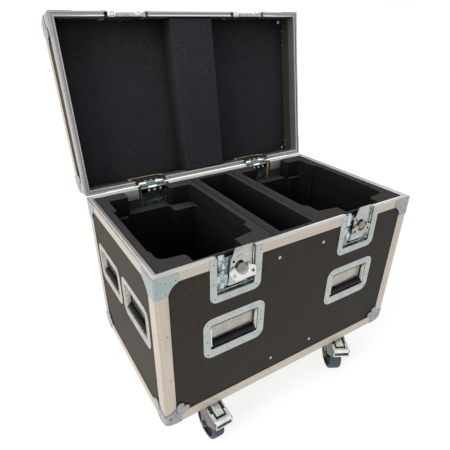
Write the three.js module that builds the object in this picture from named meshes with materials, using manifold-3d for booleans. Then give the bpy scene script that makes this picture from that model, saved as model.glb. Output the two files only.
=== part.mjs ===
// A wheeled flight case for stage lights, with its lid open, as separate pieces.
// Millimetres, X to the right along the front, Y to the back, Z up, wheels standing on Z = 0.

import * as THREE from 'three';
import { mergeVertices } from 'three/addons/utils/BufferGeometryUtils.js';
import Module from 'manifold-3d';

const wasm = await Module();
wasm.setup();

// Driving sizes of the whole case
const caseWidth = 800;
const caseDepth = 470;
const baseHeight = 458;
const lidHeight = 105;
const casterHeight = 155;
const lidOpenDegrees = 100;

// Clearances: between pieces that touch, past a face that is cut through, and under the closed lid
const fit = 0.3;
const overrun = 5;
const lidSeat = 0.5;

// Boards and the sheet of angles, rims and dishes
const baseBoard = 12;
const lidBoard = 9;
const sheet = 1.5;

// Aluminium angles and rim channels: flange widths, inner leg, web and the tongue on the base rim
const angle = { width: 32 };
const rim = { baseFlange: 24, lidFlange: 30, innerLeg: 32, web: 2, lidWeb: 5.1 };
const tongue = { inset: 5, width: 3, height: 3, sideGap: 0.8, topGap: 0.6 };

// Flat corner braces at the top of the base: arms, the inner notch and their thickness
const brace = { reach: 58, drop: 54, foot: 32, lip: 24, proud: 1.2 };

// Ball corners: ball, its inset, and the two rounded lobes on every face
const ball = { radius: 19, inset: 16, reach: 68, lobe: 36, proud: 1.4 };

// Dividers of the base and the foam round the three spaces
const divider = { thickness: 10, offset: 72, topDrop: 2 };
const foam = { wallGap: 0.4, floor: 20, topDrop: 2, middleWall: 14 };

// Nest outline in the left foam insert: edges are measured from the left and front faces of the case,
// walls from the divider and the back face, and steps and runs from the edge that they leave
const nest = {
  frontEdge: 24, frontLeftEdge: 105, frontRightWall: 90.7, frontStep: 57, rightStep: 68,
  left: 36, leftFront: 41, leftFrontEnd: 109, leftBack: 47, leftBackRun: 58,
  rightWall: 16.7, rightFrontWall: 30.7, rightFrontEnd: 108, backLeftStep: 18, backLeftEdge: 96,
  backWall: 49, backRightWall: 90.7, backRightStep: 44, rightCutStep: 25, corner: 12,
};
// Ledge along the back of the nest: the foam above it is cut back further, with rounded corners
const ledge = { depth: 60, backWall: 53, corner: 15 };
const hingeNotch = { left: 104, rightWall: 86.7 };

// Lid foam: liner face from the rim plane, and the band over the middle space
const lidFoam = { face: 70, bandHalf: 68.5, bandFace: 6, edgeGap: 3.4 };

// Butterfly latch: dish in the base front, its pocket, and how far the rim is cut away there
const latch = {
  fromSide: 202, halfWidth: 70.5, height: 119, corner: 20, pocketHalf: 51.5, pocketHeight: 100,
  depth: 12, proud: 1, rimGapHalf: 54, backCut: 12,
};
// Hook plate: outline from the latch centre and the rim plane, lip and its sliding travel
const hook = {
  left: -19, leftUpper: -13, shoulder: -22, topLeft: -1, right: 46, top: 7.5, foot: -88,
  footRight: 31, rightFoot: -70, thickness: 2, depth: 6, lipReach: 2.2, lipHeight: 2.5, lipInset: 3,
  slotRise: 8,
};
const hub = {
  x: 14, z: -44, headRadius: 16, headFront: -1, headThickness: 3, shaftRadius: 7, pinRadius: 1.5,
  pinReach: 22,
};
// Wing of the latch: it turns inside the pocket, so its ends follow a circle about the hub
const wing = {
  reach: 36.8, top: 4.5, shoulder: -5, bottom: -27.5, thickness: 1.6, notch: 17, lugRadius: 2.8, lugLength: 5,
  holeRadius: 3.6, holeX: 25.2, holeZ: -14.4, foldOutDegrees: 40,
};

// Catch dish of the lid, its ledge for the hook and the two ears
const keeper = {
  height: 72, pocketHeight: 60, pocketCorner: 16, cutHalf: 62, cutHeight: 68, cutCorner: 24,
  ledgeTop: -3.8, ledgeDepth: 3.2, ledgeFront: 10.6, plateFront: 12.6, ledgeLeft: 0, ledgeRight: 45,
  earX: 37.5, earRadius: 7, earHole: 3, earDrop: -3,
};

// Back hinges: leaf dishes in the base and the lid, and the barrel
const hinge = {
  fromSide: 201, halfWidth: 58, baseHeight: 78, lidHeight: 58, corner: 8, pocketHalf: 42, basePocket: 62,
  lidPocket: 44, rimGapHalf: 51, plateDepth: 5, lowGap: 7, axisOut: 3, barrelRadius: 4.5, knuckle: 14,
  proud: 1,
};

// Recessed spring handles: two of them fit side by side between the corner angles of a side
const handle = {
  angleGap: 17, middleGap: 8, halfHeight: 61, corner: 25, flange: 20.5, pocketTop: 37, pocketBottom: -36,
  depth: 13.5, fromSide: 202, frontCentre: -222, sideCentre: -178,
};
const bail = {
  pivotZ: 30, pivotDepth: 7, armThickness: 3, armHalf: 4.5, gripZ: -25, gripRadius: 6, sideGap: 1,
  pinRadius: 2.5,
};

// Swivel casters: plate, race, fork, wheel and brake pedal, from the pivot on the underside
const caster = { fromSide: 147, inset: 72, trail: 41, frontRightDegrees: -28, rearDegrees: 180 };
const plate = { width: 100, depth: 85, thickness: 3, raceRadius: 30, raceHeight: 8, corner: 6 };
const fork = {
  crownRadius: 27, crownHeight: 6, cheek: 3, innerHalf: 20.5, rootFront: -24, rootBack: 20, endRadius: 12,
  axleRadius: 5, boltRadius: 8, boltLength: 4,
};
const wheel = {
  radius: 50, treadHalf: 17.5, hubHalf: 19.5, hubRadius: 14, rimRadius: 41, shoulder: 3, boreGap: 0.3,
};
const pedal = {
  half: 26, thickness: 2, pivotY: -18, pivotZ: -24, rootY: -33, rootZ: -12, kneeY: -60, kneeZ: -19,
  tipY: -116, tipZ: -25, lip: 22, chinY: -105, chinZ: -56, jawY: -66, jawZ: -84, rearY: -12, rearZ: -20,
  heelY: -14, heelZ: -31, pinRadius: 2.5, pinGap: 0.4,
};

// How finely round shapes are cut into flats
const steps = { arc: 3, round: 12, pin: 8, wheel: 20, ball: 10 };

// Sizes that follow from the ones above
const halfWidth = caseWidth / 2;
const halfDepth = caseDepth / 2;
const undersideZ = casterHeight;
const rimZ = undersideZ + baseHeight;
const boardFace = sheet + fit;
const baseInner = boardFace + baseBoard;
const baseRimInner = baseInner + fit + sheet;
const lidInner = boardFace + lidBoard;
const lidRimInner = lidInner + fit + sheet;
const floorTop = undersideZ + boardFace + baseBoard;
const wallTop = rimZ - rim.web - fit;
const lidZ = rimZ + lidSeat;
const lidTop = lidZ + lidHeight;
const foamInset = baseRimInner + foam.wallGap;
const foamTop = rimZ - foam.topDrop;
const latchX = halfWidth - latch.fromSide;
const hingeX = halfWidth - hinge.fromSide;
const frontHandleX = halfWidth - handle.fromSide;
const handleHalf = (halfDepth - angle.width - handle.angleGap - handle.middleGap) / 2;
const handlePocketHalf = handleHalf - handle.flange;
const sideHandleY = handle.middleGap + handleHalf;
const casterX = halfWidth - caster.fromSide;
const dividerOuter = divider.offset + divider.thickness / 2 + fit;
const dividerInner = divider.offset - divider.thickness / 2 - fit;

// Finishes
function finish(color, roughness, metalness) {
  return new THREE.MeshStandardMaterial({ color, roughness, metalness });
}
const aluminium = finish(0xb9afa3, 0.45, 0.7);
const zinc = finish(0x9fadad, 0.35, 0.85);
const laminate = finish(0x34302e, 0.6, 0);
const foamBlack = finish(0x2b2b2e, 0.95, 0);
const gripRubber = finish(0x141416, 0.7, 0);
const tyreRubber = finish(0x2f4656, 0.55, 0);
const wingWhite = finish(0xc9cfce, 0.4, 0.6);

// A closed three.js geometry as a solid that can be joined and cut
function solid(geometry) {
  geometry.deleteAttribute('normal');
  geometry.deleteAttribute('uv');
  const merged = mergeVertices(geometry);
  const vertProperties = Float32Array.from(merged.attributes.position.array);
  const triVerts = Uint32Array.from(merged.index.array);
  return new wasm.Manifold(new wasm.Mesh({ numProp: 3, vertProperties, triVerts }));
}

// A block between two opposite corners
function block(x0, x1, y0, y1, z0, z1) {
  const geometry = new THREE.BoxGeometry(x1 - x0, y1 - y0, z1 - z0);
  geometry.translate((x0 + x1) / 2, (y0 + y1) / 2, (z0 + z1) / 2);
  return solid(geometry);
}

// An outline drawn in one plane and run straight between two places along the third axis
const axes = {
  x: new THREE.Vector3(1, 0, 0),
  y: new THREE.Vector3(0, 1, 0),
  z: new THREE.Vector3(0, 0, 1),
};
function slab(outline, plane, from, to) {
  const geometry = new THREE.ExtrudeGeometry(outline, {
    depth: to - from,
    bevelEnabled: false,
    curveSegments: steps.arc,
  });
  const turn = new THREE.Matrix4();
  if (plane === 'xy') geometry.translate(0, 0, from);
  if (plane === 'xz') {
    turn.makeBasis(axes.x, axes.z, axes.y.clone().negate());
    geometry.applyMatrix4(turn).translate(0, to, 0);
  }
  if (plane === 'yz') {
    turn.makeBasis(axes.y, axes.z, axes.x);
    geometry.applyMatrix4(turn).translate(from, 0, 0);
  }
  return solid(geometry);
}

function outlineOf(points) {
  return new THREE.Shape(points.map(([a, b]) => new THREE.Vector2(a, b)));
}

// A rectangle whose low and high corners can be rounded by different radii
function roundedOutline(a0, a1, b0, b1, lowRadius, highRadius) {
  const shape = new THREE.Shape();
  const quarter = Math.PI / 2;
  shape.moveTo(a0 + lowRadius, b0);
  if (lowRadius > 0) {
    shape.absarc(a1 - lowRadius, b0 + lowRadius, lowRadius, -quarter, 0, false);
  } else shape.lineTo(a1, b0);
  if (highRadius > 0) {
    shape.absarc(a1 - highRadius, b1 - highRadius, highRadius, 0, quarter, false);
    shape.absarc(a0 + highRadius, b1 - highRadius, highRadius, quarter, 2 * quarter, false);
  } else shape.lineTo(a1, b1).lineTo(a0, b1);
  if (lowRadius > 0) {
    shape.absarc(a0 + lowRadius, b0 + lowRadius, lowRadius, 2 * quarter, 3 * quarter, false);
  } else shape.lineTo(a0, b0);
  return shape;
}

// A round bar along one axis, through a centre given on the other two
function bar(radius, axis, from, to, a, b, sides = steps.round) {
  const geometry = new THREE.CylinderGeometry(radius, radius, to - from, sides);
  const middle = (from + to) / 2;
  if (axis === 'x') geometry.rotateZ(Math.PI / 2).translate(middle, a, b);
  if (axis === 'y') geometry.translate(a, middle, b);
  if (axis === 'z') geometry.rotateX(Math.PI / 2).translate(a, b, middle);
  return solid(geometry);
}

const join = (parts) => parts.reduce((sum, part) => sum.add(part));

// A rectangular ring that follows the case's outline between two insets
function ring(outer, inner, z0, z1) {
  const around = block(outer - halfWidth, halfWidth - outer, outer - halfDepth, halfDepth - outer, z0, z1);
  return around.subtract(block(
    inner - halfWidth, halfWidth - inner, inner - halfDepth, halfDepth - inner, z0 - overrun, z1 + overrun));
}

function addPiece(group, name, shape, material) {
  const cut = shape.getMesh();
  const geometry = new THREE.BufferGeometry();
  geometry.setAttribute('position', new THREE.BufferAttribute(cut.vertProperties, 3));
  geometry.setIndex(new THREE.BufferAttribute(cut.triVerts, 1));
  geometry.computeVertexNormals();
  const mesh = new THREE.Mesh(geometry, material);
  mesh.name = name;
  group.add(mesh);
}

const flightCase = new THREE.Group();
const sides = [['left', -1], ['right', 1]];

// Cut-outs that the dishes need in boards and rims
function latchCutout(side, floorZ, topZ) {
  const half = latch.pocketHalf + sheet + fit;
  const x = side * latchX;
  return block(x - half, x + half, -halfDepth - overrun, -halfDepth + baseRimInner + overrun, floorZ, topZ);
}
function hingeCutout(side, floorZ, topZ) {
  const half = hinge.pocketHalf + sheet + fit;
  const x = side * hingeX;
  return block(x - half, x + half, halfDepth - baseRimInner - overrun, halfDepth + overrun, floorZ, topZ);
}
function rimGaps(z0, z1, flangeDepth) {
  const cuts = [];
  for (const [, side] of sides) {
    const front = side * latchX;
    const back = side * hingeX;
    const deep = baseRimInner + overrun;
    cuts.push(block(
      front - latch.rimGapHalf, front + latch.rimGapHalf, -halfDepth - overrun, -halfDepth + deep, z0, z1));
    cuts.push(block(
      back - hinge.rimGapHalf, back + hinge.rimGapHalf, halfDepth - deep, halfDepth + overrun, z0, z1));
    const wide = latch.halfWidth + fit;
    cuts.push(block(front - wide, front + wide, -halfDepth - overrun, -halfDepth + flangeDepth, z0, z1));
    const broad = hinge.halfWidth + fit;
    cuts.push(block(back - broad, back + broad, halfDepth - flangeDepth, halfDepth + overrun, z0, z1));
  }
  return join(cuts);
}
function handleCutout(pocketCentreZ, along, centre, face) {
  const half = handlePocketHalf + sheet + fit;
  const low = pocketCentreZ + handle.pocketBottom - sheet - fit;
  const high = pocketCentreZ + handle.pocketTop + sheet + fit;
  const near = face - baseRimInner - overrun;
  const far = face + baseRimInner + overrun;
  if (along === 'x') return block(centre - half, centre + half, near, far, low, high);
  return block(near, far, centre - half, centre + half, low, high);
}

// Boards of the base: the front and back run over the ends of the side boards
const wallFoot = floorTop + fit;
const boardHalfWidth = halfWidth - boardFace;
const sideBoardHalf = halfDepth - baseInner - fit;
let frontBoard = block(
  -boardHalfWidth, boardHalfWidth, boardFace - halfDepth, baseInner - halfDepth, wallFoot, wallTop);
let backBoard = block(
  -boardHalfWidth, boardHalfWidth, halfDepth - baseInner, halfDepth - boardFace, wallFoot, wallTop);
for (const [, side] of sides) {
  const pocketFoot = rimZ - latch.pocketHeight - sheet - fit;
  frontBoard = frontBoard.subtract(latchCutout(side, pocketFoot, rimZ));
  frontBoard = frontBoard.subtract(
    handleCutout(rimZ + handle.frontCentre, 'x', side * frontHandleX, -halfDepth));
  backBoard = backBoard.subtract(hingeCutout(side, rimZ - hinge.basePocket - sheet - fit, rimZ));
}
addPiece(flightCase, 'base_front_panel', frontBoard, laminate);
addPiece(flightCase, 'base_back_panel', backBoard, laminate);
for (const [name, side] of sides) {
  const outer = side * (halfWidth - boardFace);
  const inner = side * (halfWidth - baseInner);
  let board = block(
    Math.min(outer, inner), Math.max(outer, inner), -sideBoardHalf, sideBoardHalf, wallFoot, wallTop);
  for (const end of [-1, 1]) {
    const centre = end * sideHandleY;
    board = board.subtract(handleCutout(rimZ + handle.sideCentre, 'y', centre, side * halfWidth));
  }
  addPiece(flightCase, `base_${name}_panel`, board, laminate);
}
addPiece(flightCase, 'base_floor_panel', block(
  -boardHalfWidth, boardHalfWidth, boardFace - halfDepth, halfDepth - boardFace,
  undersideZ + boardFace, floorTop), laminate);

// One upright corner angle of a frame
function cornerAngle(sx, sy, z0, z1) {
  const x = sx * halfWidth;
  const y = sy * halfDepth;
  const legX = x - sx * angle.width;
  const legY = y - sy * angle.width;
  const skinX = x - sx * sheet;
  const skinY = y - sy * sheet;
  const onFront = block(Math.min(x, legX), Math.max(x, legX), Math.min(y, skinY), Math.max(y, skinY), z0, z1);
  const onSide = block(Math.min(x, skinX), Math.max(x, skinX), Math.min(y, legY), Math.max(y, legY), z0, z1);
  return onFront.add(onSide);
}

// A ball corner with two rounded lobes on each of its three faces; up is 1 at a foot and -1 at a top
function ballCorner(sx, sy, z, up) {
  const x = sx * (halfWidth - ball.inset);
  const y = sy * (halfDepth - ball.inset);
  const sphere = new THREE.SphereGeometry(ball.radius, steps.ball, steps.ball / 2);
  sphere.rotateX(Math.PI / 2).translate(x, y, z + up * ball.inset);
  const parts = [solid(sphere)];
  const thick = sheet + ball.proud;
  const round = ball.lobe / 2;
  const arms = [[ball.reach, ball.lobe], [ball.lobe, ball.reach]];
  for (const [a, b] of arms) {
    const outline = roundedOutline(0, a, 0, b, 0, round);
    const front = slab(outline, 'xz', -thick, 0).translate([0, sheet, 0]);
    const side = slab(outline, 'yz', -thick, 0).translate([sheet, 0, 0]);
    const under = slab(outline, 'xy', -thick, 0).translate([0, 0, sheet]);
    parts.push(front, side, under);
  }
  const corner = join(parts.slice(1)).scale([-sx, -sy, up]);
  return parts[0].add(corner.translate([sx * halfWidth, sy * halfDepth, z]));
}

// A flat brace on one top corner of the base, wrapped round both faces
function topBrace(sx, sy) {
  const outline = new THREE.Shape();
  outline.moveTo(-brace.proud, 0).lineTo(brace.reach, 0).lineTo(brace.reach, -brace.lip);
  outline.quadraticCurveTo(brace.foot, -brace.lip, brace.foot, -brace.drop);
  outline.lineTo(-brace.proud, -brace.drop);
  const onFront = slab(outline, 'xz', -brace.proud, 0);
  const onSide = slab(outline, 'yz', -brace.proud, 0);
  return onFront.add(onSide).scale([-sx, -sy, 1]).translate([sx * halfWidth, sy * halfDepth, rimZ]);
}

// Rim channels as rings round the whole case, before their gaps are cut
const baseRim = join([
  ring(0, baseRimInner, rimZ - rim.web, rimZ),
  ring(0, sheet, rimZ - rim.baseFlange, rimZ),
  ring(baseInner + fit, baseRimInner, rimZ - rim.innerLeg, rimZ),
  ring(tongue.inset, tongue.inset + tongue.width, rimZ, rimZ + tongue.height),
]).subtract(rimGaps(rimZ - rim.innerLeg - overrun, rimZ + overrun, sheet + fit));
const grooveOuter = tongue.inset - tongue.sideGap;
const grooveInner = tongue.inset + tongue.width + tongue.sideGap;
const lidRim = join([
  ring(0, lidRimInner, lidZ, lidZ + rim.lidWeb),
  ring(0, sheet, lidZ, lidZ + rim.lidFlange),
  ring(lidInner + fit, lidRimInner, lidZ, lidZ + rim.innerLeg),
]).subtract(ring(grooveOuter, grooveInner, rimZ - overrun, lidZ + tongue.height + tongue.topGap))
  .subtract(rimGaps(lidZ - overrun, lidZ + rim.innerLeg + overrun, sheet + fit));

// The stretch of a rim between its two gaps, and the rest of it
const middleHalf = (latchX + hingeX) / 2;
function rimMiddle(whole, y0, y1) {
  return whole.intersect(block(-middleHalf, middleHalf, y0, y1, 0, lidTop));
}
const farY = halfDepth + overrun;
addPiece(flightCase, 'base_rim_front_middle', rimMiddle(baseRim, -farY, 0), aluminium);
addPiece(flightCase, 'base_rim_back_middle', rimMiddle(baseRim, 0, farY), aluminium);
const corners = [[-1, -1], [1, -1], [-1, 1], [1, 1]];
const baseFrame = [
  baseRim.subtract(block(-middleHalf, middleHalf, -farY, farY, 0, lidTop)),
  ring(0, sheet, undersideZ, undersideZ + angle.width),
  ring(0, angle.width, undersideZ, undersideZ + sheet),
];
for (const [sx, sy] of corners) {
  baseFrame.push(cornerAngle(sx, sy, undersideZ, rimZ), topBrace(sx, sy), ballCorner(sx, sy, undersideZ, 1));
}
const boardSpace = block(
  sheet - halfWidth, halfWidth - sheet, sheet - halfDepth, halfDepth - sheet, undersideZ + sheet, wallTop);
const rimLegs = ring(baseInner + fit, baseRimInner, rimZ - rim.innerLeg, wallTop);
addPiece(flightCase, 'base_edge_frame', join(baseFrame).subtract(boardSpace.subtract(rimLegs)), aluminium);

// Dividers and foam of the base
const foamHalfDepth = halfDepth - foamInset;
for (const [name, side] of sides) {
  const low = side * divider.offset - divider.thickness / 2;
  addPiece(flightCase, `divider_${name}`, block(
    low, low + divider.thickness, -foamHalfDepth, foamHalfDepth, wallFoot, rimZ - divider.topDrop), laminate);
}

// Outline of the nest, in X from the left face and Y from the front face
function nestOutline() {
  const n = nest;
  const r = n.corner;
  const wall = halfWidth - dividerOuter;
  const frontRight = wall - n.frontRightWall;
  const rightFront = wall - n.rightFrontWall;
  const right = wall - n.rightWall;
  const backRight = wall - n.backRightWall;
  const back = caseDepth - n.backWall;
  const backLeft = back - n.backLeftStep;
  const leftBack = backLeft - n.leftBackRun;
  const rightBack = back - n.backRightStep;
  const shape = new THREE.Shape();
  shape.moveTo(n.frontLeftEdge, n.frontEdge).lineTo(frontRight, n.frontEdge);
  shape.lineTo(frontRight, n.frontStep).lineTo(rightFront, n.rightStep);
  shape.lineTo(rightFront, n.rightFrontEnd).lineTo(right, n.rightFrontEnd + r / 2);
  shape.lineTo(right, rightBack - n.rightCutStep);
  shape.quadraticCurveTo(right, rightBack, right - r, rightBack);
  shape.lineTo(backRight + r / 2, rightBack);
  shape.quadraticCurveTo(backRight, rightBack, backRight, rightBack + r / 2);
  shape.lineTo(backRight, back - r);
  shape.quadraticCurveTo(backRight, back, backRight - r, back);
  shape.lineTo(n.backLeftEdge + r, back).lineTo(n.backLeftEdge - r, backLeft);
  shape.lineTo(n.leftBack, backLeft).lineTo(n.leftBack, leftBack + r);
  shape.lineTo(n.left, leftBack - r).lineTo(n.left, n.leftFrontEnd);
  shape.lineTo(n.leftFront, n.leftFrontEnd - r / 2).lineTo(n.leftFront, n.frontStep + 2 * r);
  shape.quadraticCurveTo(n.leftFront, n.frontStep + r / 2, n.leftFront + r, n.frontStep + r / 2);
  shape.lineTo(n.frontLeftEdge - r, n.frontStep);
  shape.quadraticCurveTo(n.frontLeftEdge, n.frontStep, n.frontLeftEdge, n.frontStep - r);
  return shape;
}
const nestPocket = slab(nestOutline(), 'xy', wallFoot + foam.floor, foamTop + overrun)
  .translate([-halfWidth, -halfDepth, 0]);
const ledgeZ = rimZ - ledge.depth;
const notchFront = halfDepth - nest.backWall - nest.backRightStep + nest.corner;
const notch = block(
  hingeNotch.left - halfWidth, -dividerOuter - hingeNotch.rightWall, notchFront,
  halfDepth, ledgeZ, foamTop + overrun);
const overLedge = slab(roundedOutline(
  nest.leftBack - halfWidth, -dividerOuter - nest.rightWall, notchFront, halfDepth - ledge.backWall,
  0, ledge.corner), 'xy', ledgeZ, foamTop + overrun);
const leftFoam = block(
  foamInset - halfWidth, -dividerOuter, -foamHalfDepth, foamHalfDepth, wallFoot, foamTop)
  .subtract(nestPocket).subtract(notch).subtract(overLedge);
addPiece(flightCase, 'foam_left_insert', leftFoam, foamBlack);
addPiece(flightCase, 'foam_right_insert', leftFoam.scale([-1, 1, 1]), foamBlack);
const middleFoam = block(-dividerInner, dividerInner, -foamHalfDepth, foamHalfDepth, wallFoot, foamTop);
const middleInner = dividerInner - foam.middleWall;
const middleEnd = foamHalfDepth - foam.middleWall;
const middleSpace = block(
  -middleInner, middleInner, -middleEnd, middleEnd, wallFoot + foam.middleWall, foamTop + overrun);
addPiece(flightCase, 'foam_centre_liner', middleFoam.subtract(middleSpace), foamBlack);

// The lid is drawn closed, in a group whose origin is the hinge axis, and that group is turned open
const hingeAxis = new THREE.Vector3(0, halfDepth + hinge.axisOut, rimZ);
const openLid = new THREE.Group();
openLid.position.copy(hingeAxis);
openLid.rotation.x = -THREE.MathUtils.degToRad(lidOpenDegrees);
const lid = new THREE.Group();
lid.position.copy(hingeAxis).negate();
openLid.add(lid);
flightCase.add(openLid);

const lidWallFoot = lidZ + rim.lidWeb + fit;
const lidBoardFoot = lidTop - boardFace - lidBoard;
addPiece(lid, 'lid_top_panel', block(
  -boardHalfWidth, boardHalfWidth, boardFace - halfDepth, halfDepth - boardFace,
  lidBoardFoot, lidTop - boardFace), laminate);
let lidWalls = ring(boardFace, lidInner, lidWallFoot, lidBoardFoot - fit);
for (const [, side] of sides) {
  const x = side * latchX;
  const arch = roundedOutline(
    x - keeper.cutHalf, x + keeper.cutHalf, lidZ, lidZ + keeper.cutHeight, 0, keeper.cutCorner);
  lidWalls = lidWalls.subtract(slab(arch, 'xz', -halfDepth - overrun, -halfDepth + baseRimInner));
  lidWalls = lidWalls.subtract(hingeCutout(side, lidZ - overrun, lidZ + hinge.lidPocket + sheet + fit));
}
addPiece(lid, 'lid_wall_ring', lidWalls, laminate);
addPiece(lid, 'lid_rim_front_middle', rimMiddle(lidRim, -farY, 0), aluminium);
addPiece(lid, 'lid_rim_back_middle', rimMiddle(lidRim, 0, farY), aluminium);
const lidFrame = [
  lidRim.subtract(block(-middleHalf, middleHalf, -farY, farY, 0, lidTop)),
  ring(0, sheet, lidTop - angle.width, lidTop),
  ring(0, angle.width, lidTop - sheet, lidTop),
];
for (const [sx, sy] of corners) {
  lidFrame.push(cornerAngle(sx, sy, lidZ, lidTop), ballCorner(sx, sy, lidTop, -1));
}
const lidSpace = block(
  sheet - halfWidth, halfWidth - sheet, sheet - halfDepth, halfDepth - sheet,
  lidZ + rim.lidWeb, lidTop - sheet);
const lidLegs = ring(lidInner + fit, lidRimInner, lidZ, lidZ + rim.innerLeg);
addPiece(lid, 'lid_edge_frame', join(lidFrame).subtract(lidSpace.subtract(lidLegs)), aluminium);

// Foam of the lid: a liner under the top board, and the band glued on it
const linerHalfWidth = halfWidth - lidInner - fit;
const linerHalfDepth = halfDepth - lidInner - fit;
addPiece(lid, 'lid_foam_liner', block(
  -linerHalfWidth, linerHalfWidth, -linerHalfDepth, linerHalfDepth,
  lidZ + lidFoam.face, lidBoardFoot - fit), foamBlack);
const bandHalfDepth = halfDepth - lidInner - lidFoam.edgeGap;
addPiece(lid, 'lid_foam_band', block(
  -lidFoam.bandHalf, lidFoam.bandHalf, -bandHalfDepth, bandHalfDepth,
  lidZ + lidFoam.bandFace, lidZ + lidFoam.face - fit), foamBlack);

// A pressed dish for the front, drawn facing -Y: flange, pocket walls and pocket floor
function pressedDish(flangeOutline, shellOutline, pocketOutline, proud, depth) {
  const flange = slab(flangeOutline, 'xz', -proud, sheet);
  const shell = slab(shellOutline, 'xz', 0, depth + sheet);
  return flange.add(shell).subtract(slab(pocketOutline, 'xz', -proud - overrun, depth));
}

// Butterfly latches: the base dish, then the moving pieces in the same place
function butterflyLatch(group, name) {
  const l = latch;
  const shellHalf = l.pocketHalf + sheet;
  const floorCut = block(
    -shellHalf - overrun, shellHalf + overrun, l.depth - fit, l.depth + sheet + overrun, -l.backCut, overrun);
  const dish = pressedDish(
    roundedOutline(-l.halfWidth, l.halfWidth, -l.height, -fit, l.corner, 0),
    roundedOutline(-shellHalf, shellHalf, -l.pocketHeight - sheet, -fit, 0, 0),
    roundedOutline(-l.pocketHalf, l.pocketHalf, -l.pocketHeight, overrun, 0, 0), l.proud, l.depth);
  addPiece(group, `latch_${name}_dish`, dish.subtract(floorCut), zinc);

  const h = hook;
  const face = outlineOf([
    [h.topLeft, h.top], [h.leftUpper, h.shoulder], [h.left, h.foot], [h.footRight, h.foot],
    [h.right, h.rightFoot], [h.right, h.top],
  ]);
  const slotHalf = hub.shaftRadius + fit;
  const slot = roundedOutline(
    hub.x - slotHalf, hub.x + slotHalf, hub.z - slotHalf, hub.z + slotHalf + h.slotRise, slotHalf, slotHalf);
  face.holes.push(new THREE.Path(slot.getPoints(steps.arc)));
  const lip = block(
    h.topLeft + h.lipInset, h.right - h.lipInset, h.depth, h.depth + h.thickness + h.lipReach,
    h.top - h.lipHeight, h.top);
  const hookPlate = slab(face, 'xz', h.depth, h.depth + h.thickness).add(lip);
  addPiece(group, `latch_${name}_hook_plate`, hookPlate, zinc);

  const headBack = hub.headFront + hub.headThickness;
  const pinDepth = (hub.headFront + headBack) / 2 + fit;
  const turnHub = join([
    bar(hub.headRadius, 'y', hub.headFront, headBack, hub.x, hub.z),
    bar(hub.shaftRadius, 'y', headBack, l.depth - fit, hub.x, hub.z),
    bar(hub.pinRadius, 'x', hub.x - hub.pinReach, hub.x + hub.pinReach, pinDepth, hub.z, steps.pin),
  ]);
  addPiece(group, `latch_${name}_turn_hub`, turnHub, zinc);

  const w = wing;
  const flat = new THREE.Shape();
  const high = Math.asin(-w.shoulder / w.reach);
  const low = Math.asin(-w.bottom / w.reach);
  const mouth = Math.asin(w.top / w.notch);
  flat.absarc(0, 0, w.reach, Math.PI + high, Math.PI + low, false);
  flat.absarc(0, 0, w.reach, -low, -high, false);
  flat.absarc(0, 0, w.notch, mouth, Math.PI - mouth, true);
  for (const side of [-1, 1]) {
    const hole = new THREE.Path();
    hole.absarc(side * w.holeX, w.holeZ, w.holeRadius, 0, 2 * Math.PI, true);
    flat.holes.push(hole);
  }
  const wingPlate = [slab(flat, 'xz', -w.thickness / 2, w.thickness / 2)];
  for (const side of [-1, 1]) {
    const near = side * (w.notch + fit);
    const far = side * (w.notch + w.lugLength);
    wingPlate.push(bar(
      w.lugRadius, 'x', Math.min(near, far), Math.max(near, far), 0, 0, steps.pin));
  }
  const boreReach = hub.pinReach + fit;
  const wingBore = bar(hub.pinRadius + fit, 'x', -boreReach, boreReach, 0, 0, steps.pin);
  const turned = new THREE.Group();
  turned.position.set(hub.x, pinDepth, hub.z);
  turned.rotation.x = name === 'left' ? -THREE.MathUtils.degToRad(w.foldOutDegrees) : 0;
  group.add(turned);
  addPiece(turned, `latch_${name}_wing`, join(wingPlate).subtract(wingBore), wingWhite);
}
for (const [name, side] of sides) {
  const group = new THREE.Group();
  group.position.set(side * latchX, -halfDepth, rimZ);
  flightCase.add(group);
  butterflyLatch(group, name);
}

// Catch dishes in the lid front, with the ledge that the hook grips and two ears
function catchDish() {
  const l = latch;
  const k = keeper;
  const shellHalf = l.pocketHalf + sheet;
  const shellCorner = k.pocketCorner + sheet;
  const dish = pressedDish(
    roundedOutline(-l.halfWidth, l.halfWidth, 0, k.height, 0, l.corner),
    roundedOutline(-shellHalf, shellHalf, 0, k.pocketHeight + sheet, 0, shellCorner),
    roundedOutline(-l.pocketHalf, l.pocketHalf, -overrun, k.pocketHeight, 0, k.pocketCorner),
    l.proud, k.plateFront);
  const ledgeFoot = k.ledgeTop - k.ledgeDepth;
  const parts = [
    dish,
    block(k.ledgeLeft, k.ledgeRight, k.ledgeFront, k.plateFront + sheet, ledgeFoot, k.ledgeTop),
    block(k.ledgeLeft, k.ledgeRight, k.plateFront, k.plateFront + sheet, ledgeFoot, sheet),
  ];
  let whole = join(parts);
  for (const side of [-1, 1]) {
    whole = whole.add(bar(k.earRadius, 'y', k.plateFront, k.plateFront + sheet, side * k.earX, k.earDrop));
  }
  const holeFront = k.plateFront - overrun;
  const holeBack = k.plateFront + overrun;
  for (const side of [-1, 1]) {
    whole = whole.subtract(bar(
      k.earHole, 'y', holeFront, holeBack, side * k.earX, k.earDrop, steps.pin));
  }
  return whole;
}
for (const [name, side] of sides) {
  const place = [side * latchX, -halfDepth, lidZ];
  addPiece(lid, `lid_catch_${name}_dish`, catchDish().translate(place), zinc);
}

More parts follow.
